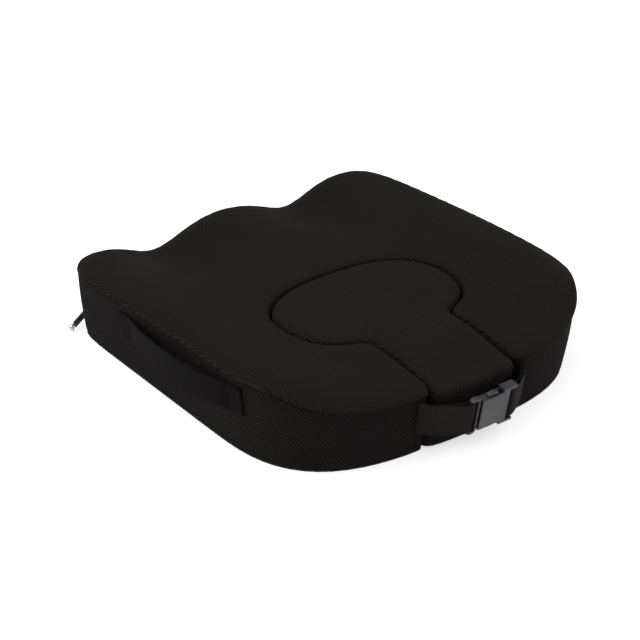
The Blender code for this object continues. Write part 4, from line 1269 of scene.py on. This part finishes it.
@dataclass
class BuckleStrap:
    """Webbing halves and the side-release buckle across the rear of the cut-out."""

    plan: CushionPlan
    finishes: Finishes
    strap_width: float = 38 * MM
    strap_thickness: float = 1.3 * MM
    gap: float = 0.3 * MM
    root_x: float = 72 * MM
    root_in: float = 25.5 * MM
    strap_z: float = 43 * MM
    tilt: float = math.radians(10)
    out: float = 13 * MM
    web_bar: float = 4.6 * MM
    socket_end: float = 33 * MM
    plug_end: float = 26.5 * MM

    def frame(self) -> Matrix:
        """The buckle's own frame: x along the strap, y towards the cushion, z up the webbing."""
        p = self.plan
        y = p.widest_y - p.rear_depth - p.proud - self.out
        centre = Matrix.Translation((OFFSET[0], y + OFFSET[1], self.strap_z))
        return centre @ Matrix.Rotation(self.tilt, 4, "X")

    def place(self, points: Array) -> Array:
        """Move points from the buckle's own frame into the model's."""
        m = np.array(self.frame())
        return points @ m[:3, :3].T + m[:3, 3]

    def strap_path(self, side: int) -> Array:
        """A webbing half: two cubic curves from the sewn root to the web bar and a loop round it."""
        bar_half = self.web_bar / 2
        bar_x = (self.socket_end if side > 0 else self.plug_end) - bar_half
        wrap = bar_half + self.gap + self.strap_thickness / 2
        root = np.array((self.root_x, self.root_in))
        layer = self.strap_thickness / 2 + self.gap / 2
        t = np.linspace(0, 1, 48)[:, None]
        legs = []
        for face in (-1, 1):
            start, end = root + (0, face * layer), np.array((bar_x + 1.5 * MM, face * wrap))
            first, second = start + (-8 * MM, -11 * MM), end + (9 * MM, face * -1.5 * MM)
            sewn_part = (1 - t) ** 3 * start + 3 * t * (1 - t) ** 2 * first
            legs.append(sewn_part + 3 * t * t * (1 - t) * second + t**3 * end)
        turns = np.linspace(-math.pi / 2, -3 * math.pi / 2, 30)[1:-1]
        loop = np.column_stack((bar_x + wrap * np.cos(turns), wrap * np.sin(turns)))
        line = np.concatenate((legs[0], loop, legs[1][::-1]))
        return np.column_stack((side * line[:, 0], line[:, 1], np.zeros(len(line))))

    def build_straps(self) -> None:
        """Sweep both webbing halves and stitch each one across beside its root."""
        profile = rounded_profile(self.strap_width, self.strap_thickness)
        up = np.array(self.frame())[:3, 2]
        for side, name in ((-1, "strap_left"), (1, "strap_right")):
            local = self.strap_path(side)
            obj = sweep("webbing_" + name[6:], self.place(local), up, profile)
            finish_piece(obj, Body.CUSHION, self.finishes.webbing, (name,))
            rows = []
            half = self.strap_width / 2 - 2 * MM
            for index in (12, 17):
                near = self.place(local[index - 1 : index + 2])
                along = (near[2] - near[0]) / np.linalg.norm(near[2] - near[0])
                out = np.cross(along, up)
                out = out if out[1] < 0 else -out
                spot = near[1] + out * self.strap_thickness / 2
                rows.append((spot - up * half, spot + up * half, out))
            finish_piece(stitched(name + "_stitches", rows), Body.CUSHION, self.finishes.thread)

    def build(self) -> None:
        """Make the webbing and the moulded halves."""
        self.build_straps()
        halves = (
            ("buckle_socket", Body.CUSHION),
            ("buckle_plug", Body.CUSHION),
            ("buckle_prong_upper", Body.PRONG_UPPER),
            ("buckle_prong_lower", Body.PRONG_LOWER),
        )
        for node, body in halves:
            soften_edges(node, body, self.finishes.buckle, 0.6 * MM)


def soften_edges(node: str, body: Body, material: Material, width: float) -> Object:
    """Copy a hard CAD piece, merge its loose triangles and round its sharp edges.

    Args:
        node: the CAD node that is copied and stood for.
        body: the body that it rides on.
        material: its finish.
        width: how wide the rounding is.

    Returns:
        The new piece.
    """
    source = bpy.data.objects[node]
    mesh = source.data.copy()
    bm = bmesh.new()
    bm.from_mesh(mesh)
    bmesh.ops.remove_doubles(bm, verts=bm.verts, dist=1e-6)
    bmesh.ops.dissolve_limit(bm, angle_limit=math.radians(1), verts=bm.verts, edges=bm.edges)
    bm.to_mesh(mesh)
    bm.free()
    mesh.polygons.foreach_set("use_smooth", np.ones(len(mesh.polygons), bool))
    obj = bpy.data.objects.new(node + "_moulded", mesh)
    bpy.context.scene.collection.objects.link(obj)
    bevel = obj.modifiers.new("edge", "BEVEL")
    bevel.width = width
    bevel.segments = 3
    bevel.limit_method = "ANGLE"
    bevel.angle_limit = math.radians(40)
    bevel.harden_normals = True
    return finish_piece(obj, body, material, (node,))


# ---------------------------------------------------------------- zip


@dataclass
class Zip:
    """Zip tapes, coils, slider and pull along the foot of the front wall."""

    plan: CushionPlan
    finishes: Finishes
    height: float = 13.5 * MM
    half_length: float = 169.25 * MM
    cloth: float = 1.6 * MM
    set_back: float = 2.0 * MM
    gap: float = 0.3 * MM
    coil_width: float = 2.2 * MM
    coil_depth: float = 2.5 * MM
    split: float = 1.1 * MM
    pitch: float = 1.5 * MM
    wire: float = 0.34 * MM
    ring_radius: float = 4.6 * MM
    ring_wire: float = 0.7 * MM

    def frame(self) -> Array:
        """The zip's own frame as a 4 by 4 array: x along it, y out of the wall, z up the wall."""
        p = self.plan
        lean = math.atan(p.lean / p.loft_height)
        y = p.widest_y + p.front_depth - p.lean * (1 - self.height / p.loft_height)
        middle = Matrix.Translation((OFFSET[0], y + OFFSET[1], self.height))
        return np.array(middle @ Matrix.Rotation(-lean, 4, "X"))

    def coil(self, side: int, name: str) -> None:
        """A nylon coil: a tube wound in an ellipse that fills the CAD bar.

        The middle line is (x, b sin a, c cos a), where a turns once per pitch along x.
        """
        turns = 2 * self.half_length / self.pitch
        a = np.linspace(0, turns * 2 * math.pi, int(turns * 9))
        x = -self.half_length + self.wire + (2 * self.half_length - 2 * self.wire) * a / a[-1]
        half_y, half_z = self.coil_depth / 2 - self.wire, self.coil_width / 2 - self.wire
        centre_y = -self.cloth - self.set_back + self.gap + self.coil_depth / 2
        centre_z = side * (self.split + self.coil_width) / 2
        line = np.column_stack((x, centre_y + half_y * np.sin(a), centre_z + half_z * np.cos(a)))
        radial = np.column_stack((np.zeros_like(a), np.sin(a), np.cos(a)))
        along = np.gradient(line, axis=0)
        along /= np.linalg.norm(along, axis=1)[:, None]
        second = np.cross(along, radial)
        turn = np.arange(5) * 2 * math.pi / 5
        ring = radial[:, None] * np.cos(turn)[None, :, None] + second[:, None] * np.sin(turn)[None, :, None]
        m = self.frame()
        points = (line[:, None] + self.wire * ring).reshape(-1, 3) @ m[:3, :3].T + m[:3, 3]
        tube = surface("coil_" + name, points, grid_faces(len(a), 5, wrap_cols=True))
        finish_piece(tube, Body.CUSHION, self.finishes.coil, ("zip_coil_" + name,))

    def ring(self) -> None:
        """The pull's ring: a round wire carried round a circle, sized by its CAD solid."""
        low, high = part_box("zip_ring")
        hinge = (np.array(low) + np.array(high)) / 2 + (self.ring_radius, 0, 0)
        lean = math.atan(self.plan.lean / self.plan.loft_height)
        place = np.array(Matrix.Rotation(-lean, 3, "X"))
        around, across = (np.arange(count) * 2 * math.pi / count for count in (64, 14))
        big, small = np.meshgrid(around, across, indexing="ij")
        reach = self.ring_radius + self.ring_wire * np.cos(small)
        x, y, z = -self.ring_radius + reach * np.cos(big), self.ring_wire * np.sin(small), reach * np.sin(big)
        local = np.stack((x, y, z), axis=2)
        points = local.reshape(-1, 3) @ place.T + hinge
        off = np.abs(points.min(0) - np.array(low)).max() + np.abs(points.max(0) - np.array(high)).max()
        LOG.info("ring stands %.2f mm from its CAD solid", off * 1000)
        wire = surface("pull_ring", points, grid_faces(64, 14, True, True))
        finish_piece(wire, Body.ZIP_PULL, self.finishes.steel, ("zip_ring",))

    def build(self) -> None:
        """Make the coils and ring, and dress the stop, slider and pull."""
        for side, name in ((1, "upper"), (-1, "lower")):
            self.coil(side, name)
        self.ring()
        soften_edges("zip_slider", Body.ZIP_CARRIAGE, self.finishes.steel, 0.25 * MM)
        soften_edges("zip_end_stop", Body.CUSHION, self.finishes.steel, 0.25 * MM)
        soften_edges("zip_pull_grip", Body.ZIP_PULL, self.finishes.rubber, 0.2 * MM)
        soften_edges("zip_pull_tip", Body.ZIP_PULL, self.finishes.steel, 0.35 * MM)


# ---------------------------------------------------------------- studio


@dataclass
class Studio:
    """Floor, lights and camera."""

    azimuth: float = -37.317
    elevation: float = 29.2
    distance: float = 2.085
    target: tuple[float, float, float] = (-0.01747, 0.01550, 0.04300)
    lens: float = 106.39

    def white(self, name: str, colour: float, glow: float) -> Material:
        """A pale material that glows a little to camera and mirror rays, so that it reads white."""
        material = bpy.data.materials.new(name)
        material.use_nodes = True
        tree = material.node_tree
        shader = tree.nodes["Principled BSDF"]
        shader.inputs["Base Color"].default_value = (colour, colour, colour, 1)
        shader.inputs["Roughness"].default_value = 0.95
        shader.inputs["Emission Color"].default_value = (1, 1, 1, 1)
        path = tree.nodes.new("ShaderNodeLightPath")
        writer = NodeWriter(tree)
        sight = writer.math("MAXIMUM", path.outputs["Is Camera Ray"], path.outputs["Is Glossy Ray"])
        tree.links.new(writer.math("MULTIPLY", sight, glow), shader.inputs["Emission Strength"])
        return material

    def floor(self) -> None:
        """A large plain floor."""
        corners = np.array(((-6, -6, 0), (6, -6, 0), (6, 6, 0), (-6, 6, 0)), float)
        obj = surface("floor", corners, np.array(((0, 1, 2, 3),)), merge=False)
        obj.data.materials.append(self.white("floor_white", 0.9, 0.55))

    def world(self) -> None:
        """A white world, even on the object and full white to the camera."""
        world = bpy.data.worlds.new("studio")
        bpy.context.scene.world = world
        world.use_nodes = True
        tree = world.node_tree
        back = tree.nodes["Background"]
        back.inputs["Color"].default_value = (1, 1, 1, 1)
        path = tree.nodes.new("ShaderNodeLightPath")
        strength = tree.nodes.new("ShaderNodeMapRange")
        tree.links.new(path.outputs["Is Camera Ray"], strength.inputs["Value"])
        strength.inputs["To Min"].default_value = 0.55
        strength.inputs["To Max"].default_value = 1.0
        tree.links.new(strength.outputs[0], back.inputs["Strength"])

    def lamp(self, name: str, place: tuple[float, float, float], size: float, power: float) -> None:
        """A square soft light that looks at the cushion."""
        data = bpy.data.lights.new(name, "AREA")
        data.size = size
        data.energy = power
        obj = bpy.data.objects.new(name, data)
        obj.location = place
        obj.rotation_euler = (Vector(self.target) - Vector(place)).to_track_quat("-Z", "Y").to_euler()
        bpy.context.scene.collection.objects.link(obj)

    def camera(self) -> None:
        """The camera, on a ray at the stated azimuth and elevation from its target."""
        a, e = math.radians(self.azimuth), math.radians(self.elevation)
        back = Vector((math.sin(a) * math.cos(e), -math.cos(a) * math.cos(e), math.sin(e)))
        data = bpy.data.cameras.new("camera")
        data.lens = self.lens
        data.sensor_width = 36
        data.clip_start, data.clip_end = 0.05, 50
        obj = bpy.data.objects.new("camera", data)
        obj.location = Vector(self.target) + back * self.distance
        obj.rotation_euler = (-back).to_track_quat("-Z", "Y").to_euler()
        bpy.context.scene.collection.objects.link(obj)
        bpy.context.scene.camera = obj

    def build(self) -> None:
        """Set up the whole studio."""
        bpy.context.scene.view_settings.view_transform = "Standard"
        self.floor()
        self.world()
        self.lamp("key", (-0.9, 0.9, 2.2), 1.8, 24)
        self.lamp("fill", (1.4, -1.8, 1.8), 2.4, 16)
        self.lamp("side", (-2.0, -0.8, 1.0), 1.6, 9)
        self.camera()


def dress_carried_over(frame: dict, finishes: Finishes) -> None:
    """Give each CAD node that stays shown its finish.

    Args:
        frame: what the loader returned.
        finishes: the built materials.
    """
    for node, material in (
        ("cover_base_panel", finishes.base),
        ("insert_base_panel", finishes.base),
        ("zip_tape_upper", finishes.tape),
        ("zip_tape_lower", finishes.tape),
    ):
        mesh = frame["nodes"][node].data
        mesh.materials.clear()
        mesh.materials.append(material)
        LOG.info("%s: carried over with %s", node, material.name)


def main() -> None:
    """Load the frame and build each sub-assembly on it."""
    logging.basicConfig(level=logging.INFO, format="%(message)s")
    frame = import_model()
    plan, finishes = CushionPlan(), Finishes()
    Studio().build()
    CushionCover(plan, finishes).build()
    Insert(plan, finishes).build()
    Handle(plan, finishes).build()
    BuckleStrap(plan, finishes).build()
    Zip(plan, finishes).build()
    dress_carried_over(frame, finishes)


if __name__ == "__main__":
    main()
